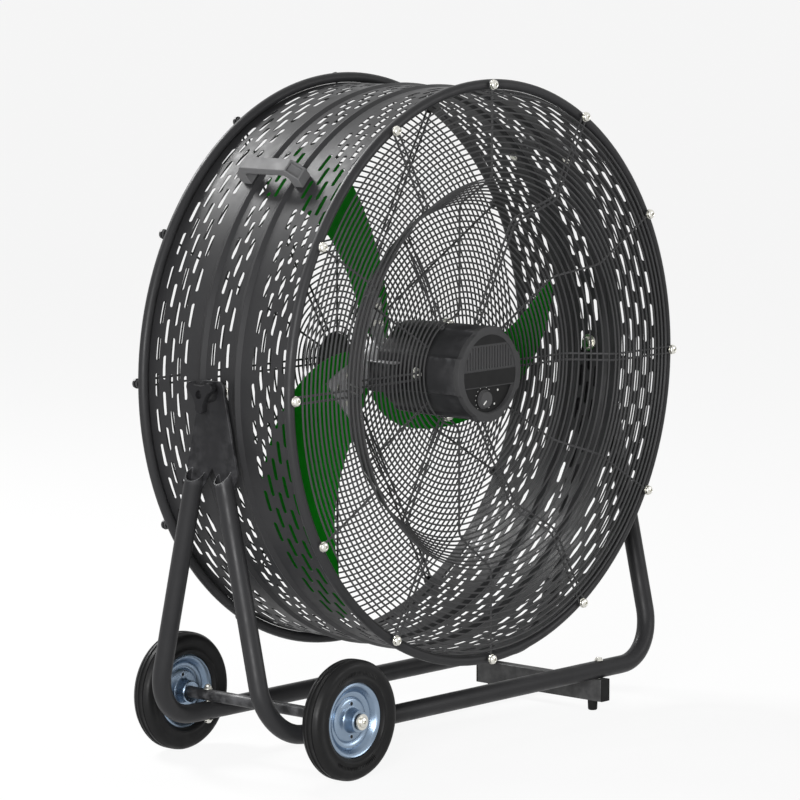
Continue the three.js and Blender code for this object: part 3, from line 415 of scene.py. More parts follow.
def cut_out(target, shape, lift=PIVOT):
    """Takes a shape out of a piece that has just been made."""
    mesh = mesh_of("cutter", shape, lift)
    tool = added("cutter", mesh)
    carve = target.modifiers.new("cut", "BOOLEAN")
    carve.operation = "DIFFERENCE"
    carve.solver = "EXACT"
    carve.object = tool
    others = [m for m in target.modifiers if m.type == "BEVEL"]
    for m in others:
        m.show_viewport = False
    bpy.context.view_layer.update()
    graph = bpy.context.evaluated_depsgraph_get()
    result = bpy.data.meshes.new_from_object(target.evaluated_get(graph))
    target.modifiers.remove(carve)
    for m in others:
        m.show_viewport = True
    old = target.data
    target.data = result
    bpy.data.meshes.remove(old)
    bpy.data.objects.remove(tool)
    bpy.data.meshes.remove(mesh)
    shade(result, SHARP)


def hex_head(radius, low, high):
    """A six-sided head along Y, chamfered at its high end."""
    return turned([(0, low), (radius, low), (radius, high - 0.8), (radius - 1.2, high), (0, high)], 6,
                  closed=False)


def screw_head(radius, height):
    """A pan head with a six-sided socket, its seat at y = 0 and its crown towards -Y."""
    dome = [(radius * cos(a), -height * (0.35 + 0.65 * sin(a))) for a in [pi / 2 * i / 5 for i in range(1, 5)]]
    socket = radius * 0.42
    profile = [(0, 0), (radius, 0), (radius, -height * 0.35)] + dome
    profile += [(socket, -height), (socket * 0.92, -height * 0.45), (0, -height * 0.4)]
    return turned(profile, 24, closed=False)


# ------------------------------------------------------------------ drum shell with its slots
ROW_PITCH = 16.5
OUTER_ROW = 77.2             # the nearer of the five rows outside each bead
# Rows of slots as (number, y). A row with an odd number lies half a slot round from the even ones.
SLOT_ROWS = [(-1, -ROW_PITCH), (0, 0.0), (1, ROW_PITCH)]
SLOT_ROWS += [(side * (5 + i), side * (OUTER_ROW + i * ROW_PITCH)) for side in (-1, 1) for i in range(5)]
SLOTS_ROUND = 50
SLOT_COLUMNS = 8             # columns of the sheet's mesh for each slot
COLUMNS = SLOTS_ROUND * SLOT_COLUMNS
SLOT_HALF = 20
SLOT_RADIUS = 4


def shell_radius(y):
    """The sheet's outer radius: even, with a triangular bead round each BEAD_PLANE."""
    return SHELL + BEAD_HEIGHT * max(0.0, 1 - abs(abs(y) - BEAD_PLANE) / BEAD_HALF)


def slotted_shell():
    """The sheet laid out flat in columns u and heights y, with its slots, and then rolled up."""
    index, flat, faces, rims = {}, [], [], []
    half = SLOT_COLUMNS // 2
    per_mm = COLUMNS / (2 * pi * SHELL)

    def at(u, y):
        key = (round((u % COLUMNS) * 1000), round(y * 1000))
        if key not in index:
            index[key] = len(flat)
            flat.append((u, y))
        return index[key]

    straight = SLOT_HALF - SLOT_RADIUS
    steps = [0, straight * 0.34, straight * 0.68]
    quarters = [radians(30 * i) for i in range(-3, 4)]
    arc = [(straight + SLOT_RADIUS * cos(a), SLOT_RADIUS * sin(a)) for a in quarters]
    slot_loop = [(s, -SLOT_RADIUS) for s in steps] + arc + [(s, SLOT_RADIUS) for s in reversed(steps)]
    slot_loop += [(-s, y) for s, y in reversed(slot_loop[1:-1])]
    for k, y in SLOT_ROWS:
        low, high = y - ROW_PITCH / 2, y + ROW_PITCH / 2
        for cell in range(SLOTS_ROUND):
            u = cell * SLOT_COLUMNS + (half if k % 2 else 0)
            border = [(u + i, low) for i in range(half + 1)]
            border += [(u + half, y + h * ROW_PITCH / 4) for h in (-1, 0, 1)]
            border += [(u + i, high) for i in range(half, -half - 1, -1)]
            border += [(u - half, y + h * ROW_PITCH / 4) for h in (1, 0, -1)]
            border += [(u + i, low) for i in range(-half, 0)]
            outer = [at(*p) for p in border]
            inner = [at(u + s * per_mm, y + t) for s, t in slot_loop]
            for a in range(len(outer)):
                b = (a + 1) % len(outer)
                faces.append((outer[a], outer[b], inner[b], inner[a]))
            rims.append(inner)
    bead_rows = [BEAD_PLANE + BEAD_HALF * t for t in (-1, -0.93, -0.5, -0.06, 0.06, 0.5, 0.93, 1)]
    plain = [1.5 * ROW_PITCH] + bead_rows + [58, OUTER_ROW - ROW_PITCH / 2]
    edge = [OUTER_ROW + 4.5 * ROW_PITCH, 158, SHELL_EDGE]
    for rows in (plain, edge, [-y for y in reversed(plain)], [-y for y in reversed(edge)]):
        for low, high in zip(rows, rows[1:]):
            for c in range(COLUMNS):
                faces.append((at(c, low), at(c + 1, low), at(c + 1, high), at(c, high)))
    count = len(flat)
    points = []
    for depth in (0, SHEET):
        for u, y in flat:
            a = 2 * pi * u / COLUMNS
            r = shell_radius(y) - depth
            points.append((r * sin(a), y, r * cos(a)))
    solid = list(faces) + [tuple(count + q for q in reversed(f)) for f in faces]
    for loop in rims:
        for a, b in zip(loop, loop[1:] + loop[:1]):
            solid.append((b, a, count + a, count + b))
    for y, flip in ((SHELL_EDGE, False), (-SHELL_EDGE, True)):
        for c in range(COLUMNS):
            a, b = at(c, y), at(c + 1, y)
            quad = (b, a, count + a, count + b)
            solid.append(tuple(reversed(quad)) if flip else quad)
    return points, [tuple(reversed(f)) for f in solid]


piece("drum_shell_slotted", slotted_shell(), paint, "drum", ["drum_shell"], sharp=20)
for name, side in ENDS:
    tube = ring(RIM_CIRCLE, side * RIM_PLANE, RIM_TUBE, 192, 20)
    piece(f"{name}_rim_roll", tube, paint, "drum", [f"{name}_rim_tube"])


# ------------------------------------------------------------------ guards
PAIR_HALF = 5.5              # half the distance between the two wires of a doubled spoke
EYE_RADIUS = 6.2
SPOKE_WIRE, LOOP_WIRE, RING_WIRE = 2.0, 1.9, 1.6
SPOKE_END = RIM_CIRCLE - 7
STEP_OUTER, STEP_INNER = 333, 286
FIRST_RING = 474


def swung(points, angle):
    """Points of (r, y, s), with s sideways, swung round Y from straight up."""
    return [(r * sin(angle) + s * cos(angle), y, r * cos(angle) - s * sin(angle)) for r, y, s in points]


def spoke_points(profile, angle, offset=0.0):
    return swung([(r, y, offset) for r, y in profile], angle)


def rounded(profile, radius=12, steps=4):
    """Rounds the corners of a line of (r, y) points."""
    out = [profile[0]]
    for before, corner, after in zip(profile, profile[1:], profile[2:]):
        a, b, c = Vector(before), Vector(corner), Vector(after)
        reach = min(radius, (a - b).length / 2.2, (c - b).length / 2.2)
        start, end = b + (a - b).normalized() * reach, b + (c - b).normalized() * reach
        for i in range(steps + 1):
            t = i / steps
            out.append(tuple(start.lerp(b, t).lerp(b.lerp(end, t), t)))
    return out + [profile[-1]]


def eye(angle, y, radius, sweep=320, steps=16):
    """Wire round a screw at the rim. What the sweep leaves out faces the middle."""
    out = []
    for i in range(steps + 1):
        a = radians(sweep) * (i / steps - 0.5)
        out.append((RIM_CIRCLE + radius * cos(a), y, radius * sin(a)))
    return swung(out, angle)


def guard_spokes(profile, long_profile, side, meets):
    """Single and doubled spokes in turn. Those that meets lists follow the long profile."""
    wires = []
    plane = side * SPOKE_PLANE
    for k in range(SPOKES):
        angle = 2 * pi * k / SPOKES
        line = long_profile if k in meets else profile
        if k % 2:
            out = spoke_points(line, angle, PAIR_HALF)
            back = spoke_points(line, angle, -PAIR_HALF)
            loop = eye(angle, plane, PAIR_HALF, 180, 10)
            r, y = line[-1]
            bend = [pi * i / 8 for i in range(1, 8)]
            tail = swung([(r - PAIR_HALF * sin(a), y, PAIR_HALF * cos(a)) for a in bend], angle)
            wires.append(pipe(out[::-1] + loop[::-1] + back + tail[::-1], LOOP_WIRE, 8, closed=True))
        else:
            wires.append(pipe(spoke_points(line, angle), SPOKE_WIRE, 8))
            wires.append(pipe(eye(angle, plane, EYE_RADIUS), LOOP_WIRE, 8, closed=True))
    return merge(*wires)


STEP_PLANE = SPOKE_PLANE - STEP_DEPTH
front_line = [(SPOKE_END, -SPOKE_PLANE), (STEP_OUTER, -SPOKE_PLANE), (STEP_INNER, -STEP_PLANE),
              (93, -STEP_PLANE)]
to_motor = front_line[:-1] + [(101, -STEP_PLANE), (88, BOLT_PLANE - 8)]
spokes = guard_spokes(rounded(front_line), rounded(to_motor), -1, (0, 3, 6, 9))
front_rings = [ring(FIRST_RING - 10.07 * i, -SPOKE_PLANE - RING_OUT, RING_WIRE) for i in range(15)]
for t in [i / 8 for i in range(1, 8)]:
    front_rings.append(ring(STEP_OUTER - (STEP_OUTER - STEP_INNER) * t,
                            -SPOKE_PLANE + STEP_DEPTH * t - RING_WIRE, RING_WIRE))
front_rings += [ring(STEP_INNER - 10.05 * i, -STEP_PLANE - RING_OUT, RING_WIRE) for i in range(20)]
piece("front_guard_spokes", spokes, wire_paint, "drum", ["front_guard"])
piece("front_guard_rings", merge(*front_rings), wire_paint, "drum", ["front_guard"])

rear_line = [(SPOKE_END, SPOKE_PLANE), (34, SPOKE_PLANE)]
piece("rear_guard_spokes", guard_spokes(rear_line, rear_line, 1, ()), wire_paint, "drum",
      ["rear_guard"])
rear_rings = [ring(FIRST_RING - 10.2 * i, SPOKE_PLANE + RING_OUT, RING_WIRE) for i in range(43)]
piece("rear_guard_rings", merge(*rear_rings), wire_paint, "drum", ["rear_guard"])
hub_cap = turned([(0, 182.1), (40, 182.1), (43.5, 182.6), (44, 184), (40, 184.4), (12, 185), (0, 185)], 64,
                 closed=False)
piece("rear_guard_disc", hub_cap, paint, "drum", ["rear_guard_plate"])

head = screw_head(8, 7)
washer = turned([(3, 0), (8.6, 0), (8.6, -1.3), (3, -1.3)], 24)
for name, side, surface in (("front", -1, steel), ("rear", 1, dark_steel)):
    for k in range(SPOKES):
        place = Matrix.Translation((0, side * (SPOKE_PLANE + 2.2), RIM_CIRCLE))
        turn = about("Y", 2 * pi * k / SPOKES) @ place @ half_turn_if(side > 0)
        shape = moved(merge(washer, shifted(head, y=-1.3)), turn)
        piece(f"{name}_guard_screw_{k + 1}", shape, surface, "drum")


# ------------------------------------------------------------------ motor
def lobed(base, lobe, count=144):
    """Points round the motor: four raised sectors with soft shoulders."""
    out = []
    for i in range(count):
        a = 2 * pi * i / count
        off = abs((math.degrees(a) + 45) % 90 - 45)
        rise = min(1.0, max(0.0, (26 - off) / 3.5))
        r = base + lobe * rise * rise * (3 - 2 * rise)
        out.append((r * cos(a), r * sin(a)))
    return out


body_steps = [(MOTOR_FRONT, 1), (MOTOR_FRONT + 1.5, 0), (-60, 0), (-20, 1), (MOTOR_REAR - 6, 2),
              (MOTOR_REAR - 1.5, 4), (MOTOR_REAR, 7)]
body = loft([(y, lobed(HOUSING - less, LOBE)) for y, less in body_steps])
piece("motor_shell_body", body, motor_paint, "drum", ["motor_housing"])
rear_boss = turned([(13, MOTOR_REAR), (34, MOTOR_REAR), (33, MOTOR_REAR + 5), (20, MOTOR_REAR + 8),
                    (18, MOTOR_REAR + 14), (13, MOTOR_REAR + 14)], 48)
piece("motor_rear_boss", rear_boss, motor_paint, "drum")

cap_steps = [(MOTOR_FRONT - 0.3, 2), (CAP_FACE + 2, 2), (CAP_FACE + 0.6, 1.4), (CAP_FACE, 0)]
cap_outer = loft([(y, lobed(HOUSING + more, LOBE - 1)) for y, more in cap_steps])
FACE = 67.5                  # radius of the cap's sunk face
CROWN = 51                   # its top panel begins at this height
LABEL_TOP, LABEL_BOTTOM = 6, -20


def band(radius, low, high, steps=18):
    """The part of a disc between two heights, counter-clockwise from below right."""
    a, b = math.asin(max(-1, low / radius)), math.asin(min(1, high / radius))
    angles = [a + (b - a) * i / steps for i in range(steps + 1)]
    out = [(radius * cos(angle), radius * sin(angle)) for angle in angles]
    out += [(-x, z) for x, z in reversed(out)]
    return [p for i, p in enumerate(out) if (Vector(p) - Vector(out[i - 1])).length > 1e-3]


cap = piece("motor_cap_face", cap_outer, cap_plastic, "drum", ["motor_end_cap"])
cut_out(cap, prism(band(FACE, -FACE, FACE, 48), CAP_FACE - 1, CAP_FACE + 1.4))
cut_out(cap, prism(band(FACE - 1.5, -FACE + 1.5, LABEL_BOTTOM - 2), CAP_FACE - 1, CAP_FACE + 8))
slots = []
for i in range(17):
    x = (i - 8) * 7.1
    reach = math.sqrt((FACE - 4) ** 2 - x * x)
    top, bottom = min(CROWN - 3.5, reach), LABEL_TOP + 3.5
    if top - bottom > 6:
        slots.append(block(x - 1.3, x + 1.3, bottom, top, CAP_FACE - 1, CAP_FACE + 6))
cut_out(cap, merge(*slots))
piece("cap_crown_panel", prism(band(FACE - 0.6, CROWN, FACE - 0.6), CAP_FACE + 0.7, CAP_FACE + 1.4),
      panel_black, "drum")
piece("cap_blank_band", prism(band(FACE - 0.6, LABEL_BOTTOM, LABEL_TOP), CAP_FACE + 0.4, CAP_FACE + 1.4),
      panel_black, "drum", ["rating_label"])
DIAL_FLOOR = CAP_FACE + 7.7
piece("dial_recess_panel", prism(band(FACE - 2, 2 - FACE, LABEL_BOTTOM - 3), DIAL_FLOOR - 1, DIAL_FLOOR),
      panel_black, "drum", ["dial_panel"])

DIAL = Vector((-9, 0, -43))
DOT_CIRCLE = 21
KNURLS = 96
knurled = [(16.2 + (0.35 if i % 2 else -0.35), 2 * pi * i / KNURLS) for i in range(KNURLS)]


def dial_loop(scale, shrink=0.0):
    return [((r * scale - shrink) * cos(a), (r * scale - shrink) * sin(a)) for r, a in knurled]


top = DIAL_FLOOR - 1.3
dial = loft([(top - 8, dial_loop(0.86, 0.8)), (top - 7.4, dial_loop(0.86)), (top - 2.2, dial_loop(0.92)),
             (top - 2, dial_loop(1.0)), (top, dial_loop(1.0))])
dial = shifted(dial, DIAL.x, 0, DIAL.z)
pointer = block(-1.1, 1.1, 3, 12.5, top - 8.5, top - 7.9)
pointer = moved(pointer, Matrix.Translation(DIAL) @ about("Y", radians(-130)))
piece("speed_dial_knurled", dial, dial_plastic, "dial", ["speed_dial"], sharp=25)
piece("speed_dial_pointer", pointer, mark_white, "dial")
dots = []
for i in range(13):
    a = radians(-42 + 22 * i)
    x, z = DIAL.x - DOT_CIRCLE * sin(a), DIAL.z + DOT_CIRCLE * cos(a)
    if math.hypot(x, z) < FACE - 5:
        dots.append(shifted(rod(0.75, DIAL_FLOOR - 1.25, DIAL_FLOOR - 0.9, 12, 0.1), x, 0, z))
for x, z in ((28, -30), (19, -53)):
    dots.append(shifted(rod(1.9, DIAL_FLOOR - 1.3, DIAL_FLOOR - 0.9, 20, 0.1), x, 0, z))
piece("dial_scale_dots", merge(*dots), mark_white, "drum")

terminal = block(-99.3, -82, -35, 17, MOTOR_REAR - 61, MOTOR_REAR)
piece("terminal_box_cover", terminal, motor_paint, "drum", ["terminal_box"], bevel=2)
# Painted light: a pale metal plate on the box's top stands for the light falling on it; the box itself is dark
# paint.
lit_top_plate = block(-99.8, -81.8, 14.5, 17.4, MOTOR_REAR - 61.5, MOTOR_REAR + 0.3)
piece("terminal_box_lit_top", lit_top_plate, alloy, "drum", bevel=0.8)

seat = HOUSING + LOBE
cup = turned([(3, seat + 0.3), (10.5, seat + 0.3), (10.5, seat + 1.6), (8.4, seat + 3), (3, seat + 3)], 32)
crown = turned([(0, seat + 2.5), (8.2, seat + 2.5), (8.2, seat + 4.6), (6.6, seat + 7), (3.6, seat + 8),
                (0, seat + 8)], 32, closed=False)
for i in range(4):
    turn = about("Y", i * pi / 2) @ Matrix.Translation((0, BOLT_PLANE, 0)) @ about("X", pi / 2)
    piece(f"motor_bolt_{i + 1}_head", moved(merge(cup, crown), turn), steel, "drum",
          [f"motor_bolt_{i + 1}"])


# ------------------------------------------------------------------ impeller
# Control points of the blade's edges, from the hub out to the tip that they share.
LEADING = [(-55, 102, 22), (-178, 133, 9), (-254, 135, -123), (-385, 107, -344), (-108, 48, -440)]
TRAILING = [(-29, 78, -46), (-92, 72, -163), (-164, 66, -215), (-140, 58, -346), (-108, 48, -440)]


def bezier(controls, t):
    points = [Vector(c) for c in controls]
    while len(points) > 1:
        points = [a.lerp(b, t) for a, b in zip(points, points[1:])]
    return points[0]


CAMBER = 5


def blade_point(t, s):
    """The blade t of the way out to its tip and s of the way across from its trailing edge."""
    a, b = bezier(TRAILING, t), bezier(LEADING, t)
    p = a.lerp(b, s)
    p.y += CAMBER * 4 * s * (1 - s) * (1 - t)
    return p


def spread(low, high, count):
    return [low + (high - low) * i / (count - 1) for i in range(count)]


blade = sheet([[blade_point(t, s) for s in spread(0, 1, 15)] for t in spread(0, 0.975, 41)], 2.2)
behind = Vector((0, -5.4, 0))
arm_rows = [[blade_point(t, s) + behind for s in spread(0.16, 0.74, 7)] for t in spread(0.0, 0.15, 7)]
arm_root = []
for p in arm_rows[0]:
    flat = Vector((p.x, p.z)).normalized() * 24
    arm_root.append(Vector((flat.x, p.y - 4, flat.y)))
arm = sheet([arm_root] + arm_rows, 4.5)
bolts = []
for t, s in ((0.055, 0.3), (0.055, 0.6), (0.12, 0.32), (0.12, 0.58)):
    p = blade_point(t, s)
    bolts.append(shifted(merge(rod(6, -11.5, -7.8, 20, 0.5), hex_head(5, -8, 3)), p.x, p.y, p.z))
hub = turned([(12.3, 50), (22, 50), (24, 52), (26, 60), (34, 72), (34, 90), (30, 92), (12.3, 92)], 64)
hub_ribs = [moved(block(20, 33, -2, 2, 55, 74), about("Y", i * pi / 3)) for i in range(6)]
turns = [about("Y", 2 * pi * i / BLADES) for i in range(BLADES)]
spider = merge(hub, *hub_ribs, *[moved(arm, t) for t in turns])
piece("impeller_spider", spider, alloy, "impeller", ["impeller_hub"])
for i, turn in enumerate(turns):
    piece(f"blade_{i + 1}_sheet", moved(blade, turn), blade_paint, "impeller",
          [f"blade_{i + 1}"])
    piece(f"blade_{i + 1}_bolts", moved(merge(*bolts), turn), steel, "impeller")
shaft = turned([(0, MOTOR_REAR - 38), (12, MOTOR_REAR - 38), (12, 96), (10.6, 98), (0, 98)], 40, closed=False)
piece("motor_shaft_turned", shaft, steel, "impeller", ["motor_shaft"])


# ------------------------------------------------------------------ handles
HANDLE_SCREW = 61            # the handle's screws lie this far from its middle


def handle_shape():
    """The handle's side outline in (y, z), with its grip along Y, and its width across X."""
    outline = [(-48.6, 0), (-48.6, 19), (-46, 24), (-41, 27), (41, 27), (46, 24), (48.6, 19), (48.6, 0),
               (68, 0), (70, 20), (51, 41), (-51, 41), (-70, 20), (-68, 0)]
    n = len(outline)
    points = [(x, y, z) for x in (-13, 13) for y, z in outline]
    faces = [tuple(reversed(range(n))), tuple(range(n, 2 * n))]
    for i in range(n):
        j = (i + 1) % n
        faces.append((i, j, n + j, n + i))
    return points, faces


slope = math.atan2(21, 19)   # of the handle's sloping ends
pockets = []
for end in (-1, 1):
    pocket = block(-9.6, 9.6, -8, 12, -11.5, 11.5)
    pockets.append(moved(pocket, Matrix.Translation((0, end * 60.5, 30.5)) @ about("X", -end * slope)))
for name, side in SIDES:
    upright = about("Y", side * radians(45))
    turn = upright @ Matrix.Translation((0, 0, SHELL + 0.3))
    grip = piece(f"{name}_handle_moulding", moved(handle_shape(), turn), grip_plastic, "drum",
                 [f"{name}_handle"], bevel=1.0)
    cut_out(grip, moved(merge(*pockets), turn))
    for where, end in ENDS:
        seat_in = Matrix.Translation((0, end * HANDLE_SCREW, SHELL - SHEET - 0.4))
        inside = moved(screw_head(8, 4.5), upright @ seat_in @ about("X", pi / 2))
        piece(f"{name}_handle_{where}_screw_head", inside, steel, "drum",
              [f"{name}_handle_{where}_screw"])


# ------------------------------------------------------------------ tilt pivots, plates and knobs
def plate_outline():
    """The side plate in (y, z): a head round the tilt axis and two legs along the tubes."""
    out = []
    corner = [(28, 0), (27.6, 8), (25.5, 14), (21, 18.4), (15, 20)]
    out += [(-57, -128)] + [(-y, z) for y, z in corner] + list(reversed(corner)) + [(57, -128)]
    half, reach = TUBE - 3, 163

    def along(side, s, across):
        return (side * (s * sin(LEAN) + across * cos(LEAN)), -s * cos(LEAN) + across * sin(LEAN))
    out += [along(1, reach, half), along(1, reach, -half), (0, -124), along(-1, reach, -half),
            along(-1, reach, half)]
    return out


def knob_outline(tip=32, tip_radius=8.6, neck=15, count=96):
    """Three rounded lobes, one straight down, with hollow flanks between them."""
    out = []
    for i in range(count):
        a = 2 * pi * i / count
        off = (math.degrees(a) + 60) % 120 - 60
        centre = tip - tip_radius
        across = centre * sin(radians(off))
        inside = tip_radius ** 2 - across ** 2
        lobe = centre * cos(radians(off)) + math.sqrt(inside) if inside > 0 else 0
        waist = neck + 9.5 * max(0.0, cos(radians(off * 1.5))) ** 3
        r = max(lobe, waist)
        out.append((r * sin(a), -r * cos(a)))
    return out


def x_turned(profile, segments):
    return moved(turned(profile, segments), about("Z", -pi / 2))


WING_IN, WING_OUT = 518.3, 530.3
for name, side in SIDES:
    half_turn = half_turn_if(side < 0)
    plate = across_x(plate_outline(), PLATE - 5, PLATE)
    piece(f"{name}_plate_pressing", moved(plate, half_turn), plate_paint, "stand",
          [f"{name}_side_plate"], bevel=0.8)
    outline = knob_outline()
    smaller = [(y * 0.965, z * 0.965) for y, z in outline]
    rings_x = [(WING_IN, smaller), (WING_IN + 1.2, outline), (WING_OUT - 1.2, outline), (WING_OUT, smaller)]
    wing = moved(loft(rings_x), about("Z", -pi / 2))
    wing = moved(wing, half_turn)
    knob = piece(f"{name}_knob_wing", wing, knob_plastic, f"{name}_knob",
                 [f"{name}_clamp_knob"])
    well = x_turned([(0.01, WING_OUT - 8), (7, WING_OUT - 8), (7, WING_OUT + 2), (0.01, WING_OUT + 2)], 32)
    cut_out(knob, moved(well, half_turn))
    boss = x_turned([(6.5, 500.5), (13.5, 500.5), (15, 502), (15, WING_IN + 1), (6.5, WING_IN + 1)], 40)
    piece(f"{name}_knob_boss", moved(boss, half_turn), knob_plastic, f"{name}_knob")
    spacer = x_turned([(6.4, SHELL + 0.6), (16, SHELL + 0.6), (16, PLATE - 5.3), (6.4, PLATE - 5.3)], 40)
    piece(f"{name}_pivot_washer", moved(spacer, half_turn), foot_rubber, "stand",
          [f"{name}_pivot_spacer"], bevel=0.8)
    stud = x_turned([(0.01, 476), (6, 476), (6, WING_IN), (0.01, WING_IN)], 32)
    flange = x_turned([(6, 476.6), (15, 476.6), (15, 478.4), (6, 478.4)], 32)
    head_x = x_turned([(0.01, 468.8), (9.4, 468.8), (11, 470.2), (11, 476.6), (0.01, 476.6)], 6)
    piece(f"{name}_pivot_stud", moved(merge(stud, flange, head_x), half_turn), steel, "drum",
          [f"{name}_pivot_bolt"])


# ------------------------------------------------------------------ stand tubes
BEND = 90                    # radius of the tubes' bends
LEG_STEPS = (133, 160, 250, 370)


def stand_path(side):
    """The middle of a tube: down the left leg, along the run and up the right leg."""
    def place(x, s):
        return (x, side * s * sin(LEAN), PIVOT - s * cos(LEAN))
    bend_x, bend_s = LEG_X - BEND, STAND_LENGTH - BEND
    out = [place(-LEG_X, s) for s in (*LEG_STEPS, bend_s - 12)]
    out += [place(-bend_x - BEND * cos(a), bend_s + BEND * sin(a)) for a in spread(0, pi / 2, 17)]
    out += [place(x, STAND_LENGTH) for x in (-300, -100, 100, 300)]
    out += [place(bend_x + BEND * sin(a), bend_s + BEND * cos(a)) for a in spread(0, pi / 2, 17)]
    return out + [place(LEG_X, s) for s in (bend_s - 12, *reversed(LEG_STEPS))]


for name, side in ENDS:
    tube = piece(f"{name}_stand_bent_tube", pipe(stand_path(side), TUBE, 40, hollow=TUBE - 2), stand_paint,
                 "stand", [f"{name}_stand_tube"], lift=0)
    for end in (-1, 1):
        slot = block(PLATE - 5.3, PLATE + 0.3, -165, -120, -30, 30)
        wedge = block(-32, 32, 0, 32, -32, 32)
        wedge = moved(wedge, Matrix.Translation((PLATE, 0, -133)) @ about("Y", radians(38)))
        lean_back = Matrix.Translation((0, 0, PIVOT)) @ about("X", side * LEAN) @ half_turn_if(end < 0)
        for tool in (slot, wedge):
            cut_out(tube, moved(tool, lean_back), lift=0)


# ------------------------------------------------------------------ axle, wheels and their bolts
HUB_HALF = 25
axle_end = WHEEL_PLANE + HUB_HALF + 1.5
axle_bar = shifted(rod(AXLE, -axle_end, axle_end, 40, 1), WHEEL_X, 0, AXLE_HEIGHT)
piece("axle_bar", axle_bar, stand_paint, "stand", ["axle"], lift=0)

# Half sections of the tyre and of the wheel disc, as (radius, distance from the middle plane).
half = [(63.4, 13), (66.5, 14.6), (68.5, 17.2), (71, 18.0), (74, 16.6), (77, 16.4), (82, 17.6), (86, 19),
        (90, 19.0), (94, 18.2), (96.6, 16.4), (98.6, 13.6), (100, 10.6), (100.6, 9.6), (99.0, 8.8),
        (99.0, 7.6), (100.9, 6.8), (101, 3.2), (99.2, 2.4), (99.2, 0.0)]
tyre = turned([(r, -w) for r, w in half] + [(r, w) for r, w in reversed(half[:-1])], 128)
rib = shifted(block(-0.45, 0.45, 0, 7, -18.4, -16), z=77)
ridges = [moved(rib, about("Y", base + radians(68) * i / 25)) for i in range(26)
          for base in (radians(-34), radians(146))]
ridges = merge(*ridges)
dish_half = [(10.3, 25), (17.5, 25), (19, 23.6), (19.2, 9), (21.5, 5.4), (26, 4.4), (33, 4.4), (35.5, 3.4),
             (38, 0.5), (42, -2.2), (47, -1.8), (51, 2.5), (54, 8.2), (57.5, 12.6), (60.5, 13.6),
             (62.8, 12.2), (63.1, 10)]


def dish(side):
    """One of the disc's two pressings, 1.6 mm thick."""
    inner = [(r, side * (w - 1.6)) for r, w in reversed(dish_half[4:])]
    return turned([(r, side * w) for r, w in dish_half] + inner + [(17, side * 3), (10.3, side * 3)], 96)


barrel = turned([(61.4, -11), (63.1, -11), (63.1, 11), (61.4, 11)], 96)
hole = turned([(0.01, -4.75), (3.2, -4.75), (3.2, -4.0), (0.01, -4.0)], 20)
lip = turned([(3.2, -5.0), (4.2, -4.9), (4.2, -4.0), (3.2, -4.0)], 24)
for name, side in ENDS:
    at_wheel = Matrix.Translation((WHEEL_X, side * WHEEL_PLANE, AXLE_HEIGHT)) @ half_turn_if(side > 0)
    body_name = f"{name}_wheel"
    piece(f"{name}_tyre_moulding", moved(tyre, at_wheel), tyre_rubber, body_name,
          [f"{name}_tyre"], lift=0, sharp=28)
    piece(f"{name}_tyre_ribs", moved(ridges, at_wheel), tyre_rubber, body_name, lift=0)
    piece(f"{name}_wheel_dish", moved(merge(dish(-1), dish(1), barrel), at_wheel), zinc, body_name,
          [f"{name}_wheel_rim"], lift=0, sharp=40)
    # The rivet holes are not cut; dark discs of painted shade lie on the dish in their place.
    holes, lips = [], []
    for z in (27.5, -27.5):
        for out in (0, pi):
            spot = at_wheel @ about("Z", out) @ Matrix.Translation((0, 0, z))
            holes.append(moved(hole, spot))
            lips.append(moved(lip, spot))
    piece(f"{name}_dish_rivet_hole_shade", merge(*holes), hole_shade_paint, body_name, lift=0)
    piece(f"{name}_dish_rivet_lips", merge(*lips), zinc, body_name, lift=0)
    seat_y = HUB_HALF + 1.8
    big_washer = turned([(4, -seat_y), (13.4, -seat_y), (14, -seat_y - 0.8), (13.4, -seat_y - 3),
                         (4, -seat_y - 3)], 40)
    cap_head = shifted(screw_head(8.6, 5.5), y=-seat_y - 3)
    piece(f"{name}_axle_end_bolt", moved(merge(big_washer, cap_head), at_wheel), steel, "stand",
          [f"{name}_axle_bolt"], lift=0)


def dome_nut(radius, height):
    """A six-sided cap nut standing on z = 0."""
    skirt = turned([(0.01, 0), (radius, 0), (radius, 4.2), (radius - 1, 5), (0.01, 5)], 6)
    arc = [(radius * 0.82 * cos(a), 4.6 + (height - 4.6) * sin(a)) for a in spread(0, pi / 2 - 0.05, 6)]
    dome = turned([(0.01, 3)] + [(radius * 0.82, 3)] + arc + [(0.01, height)], 24)
    flange = turned([(0.01, -0.1), (radius + 1.6, -0.1), (radius + 1.6, 1.0), (0.01, 1.0)], 28)
    return moved(merge(skirt, dome, flange), about("X", pi / 2))


for name, side in ENDS:
    y = side * RUN_PLANE
    for label, x, low, high in (("axle_clamp", WHEEL_X, RUN_HEIGHT - TUBE, AXLE_HEIGHT + AXLE),
                                ("foot_bar", BAR_X, BAR_TOP - 3, RUN_HEIGHT + TUBE)):
        top_nut = shifted(dome_nut(6.4, 8.6 if label == "axle_clamp" else 5.4), x, y, high + 0.2)
        low_nut = shifted(moved(dome_nut(6.4, 6), about("X", pi)), x, y, low - 0.2)
        stem = shifted(moved(rod(4, low - 1, high + 1, 20), about("X", pi / 2)), x, y, 0)
        piece(f"{name}_{label}_bolt_dressed", merge(top_nut, low_nut, stem), steel, "stand",
              [f"{name}_{label}_bolt"], lift=0, sharp=30)


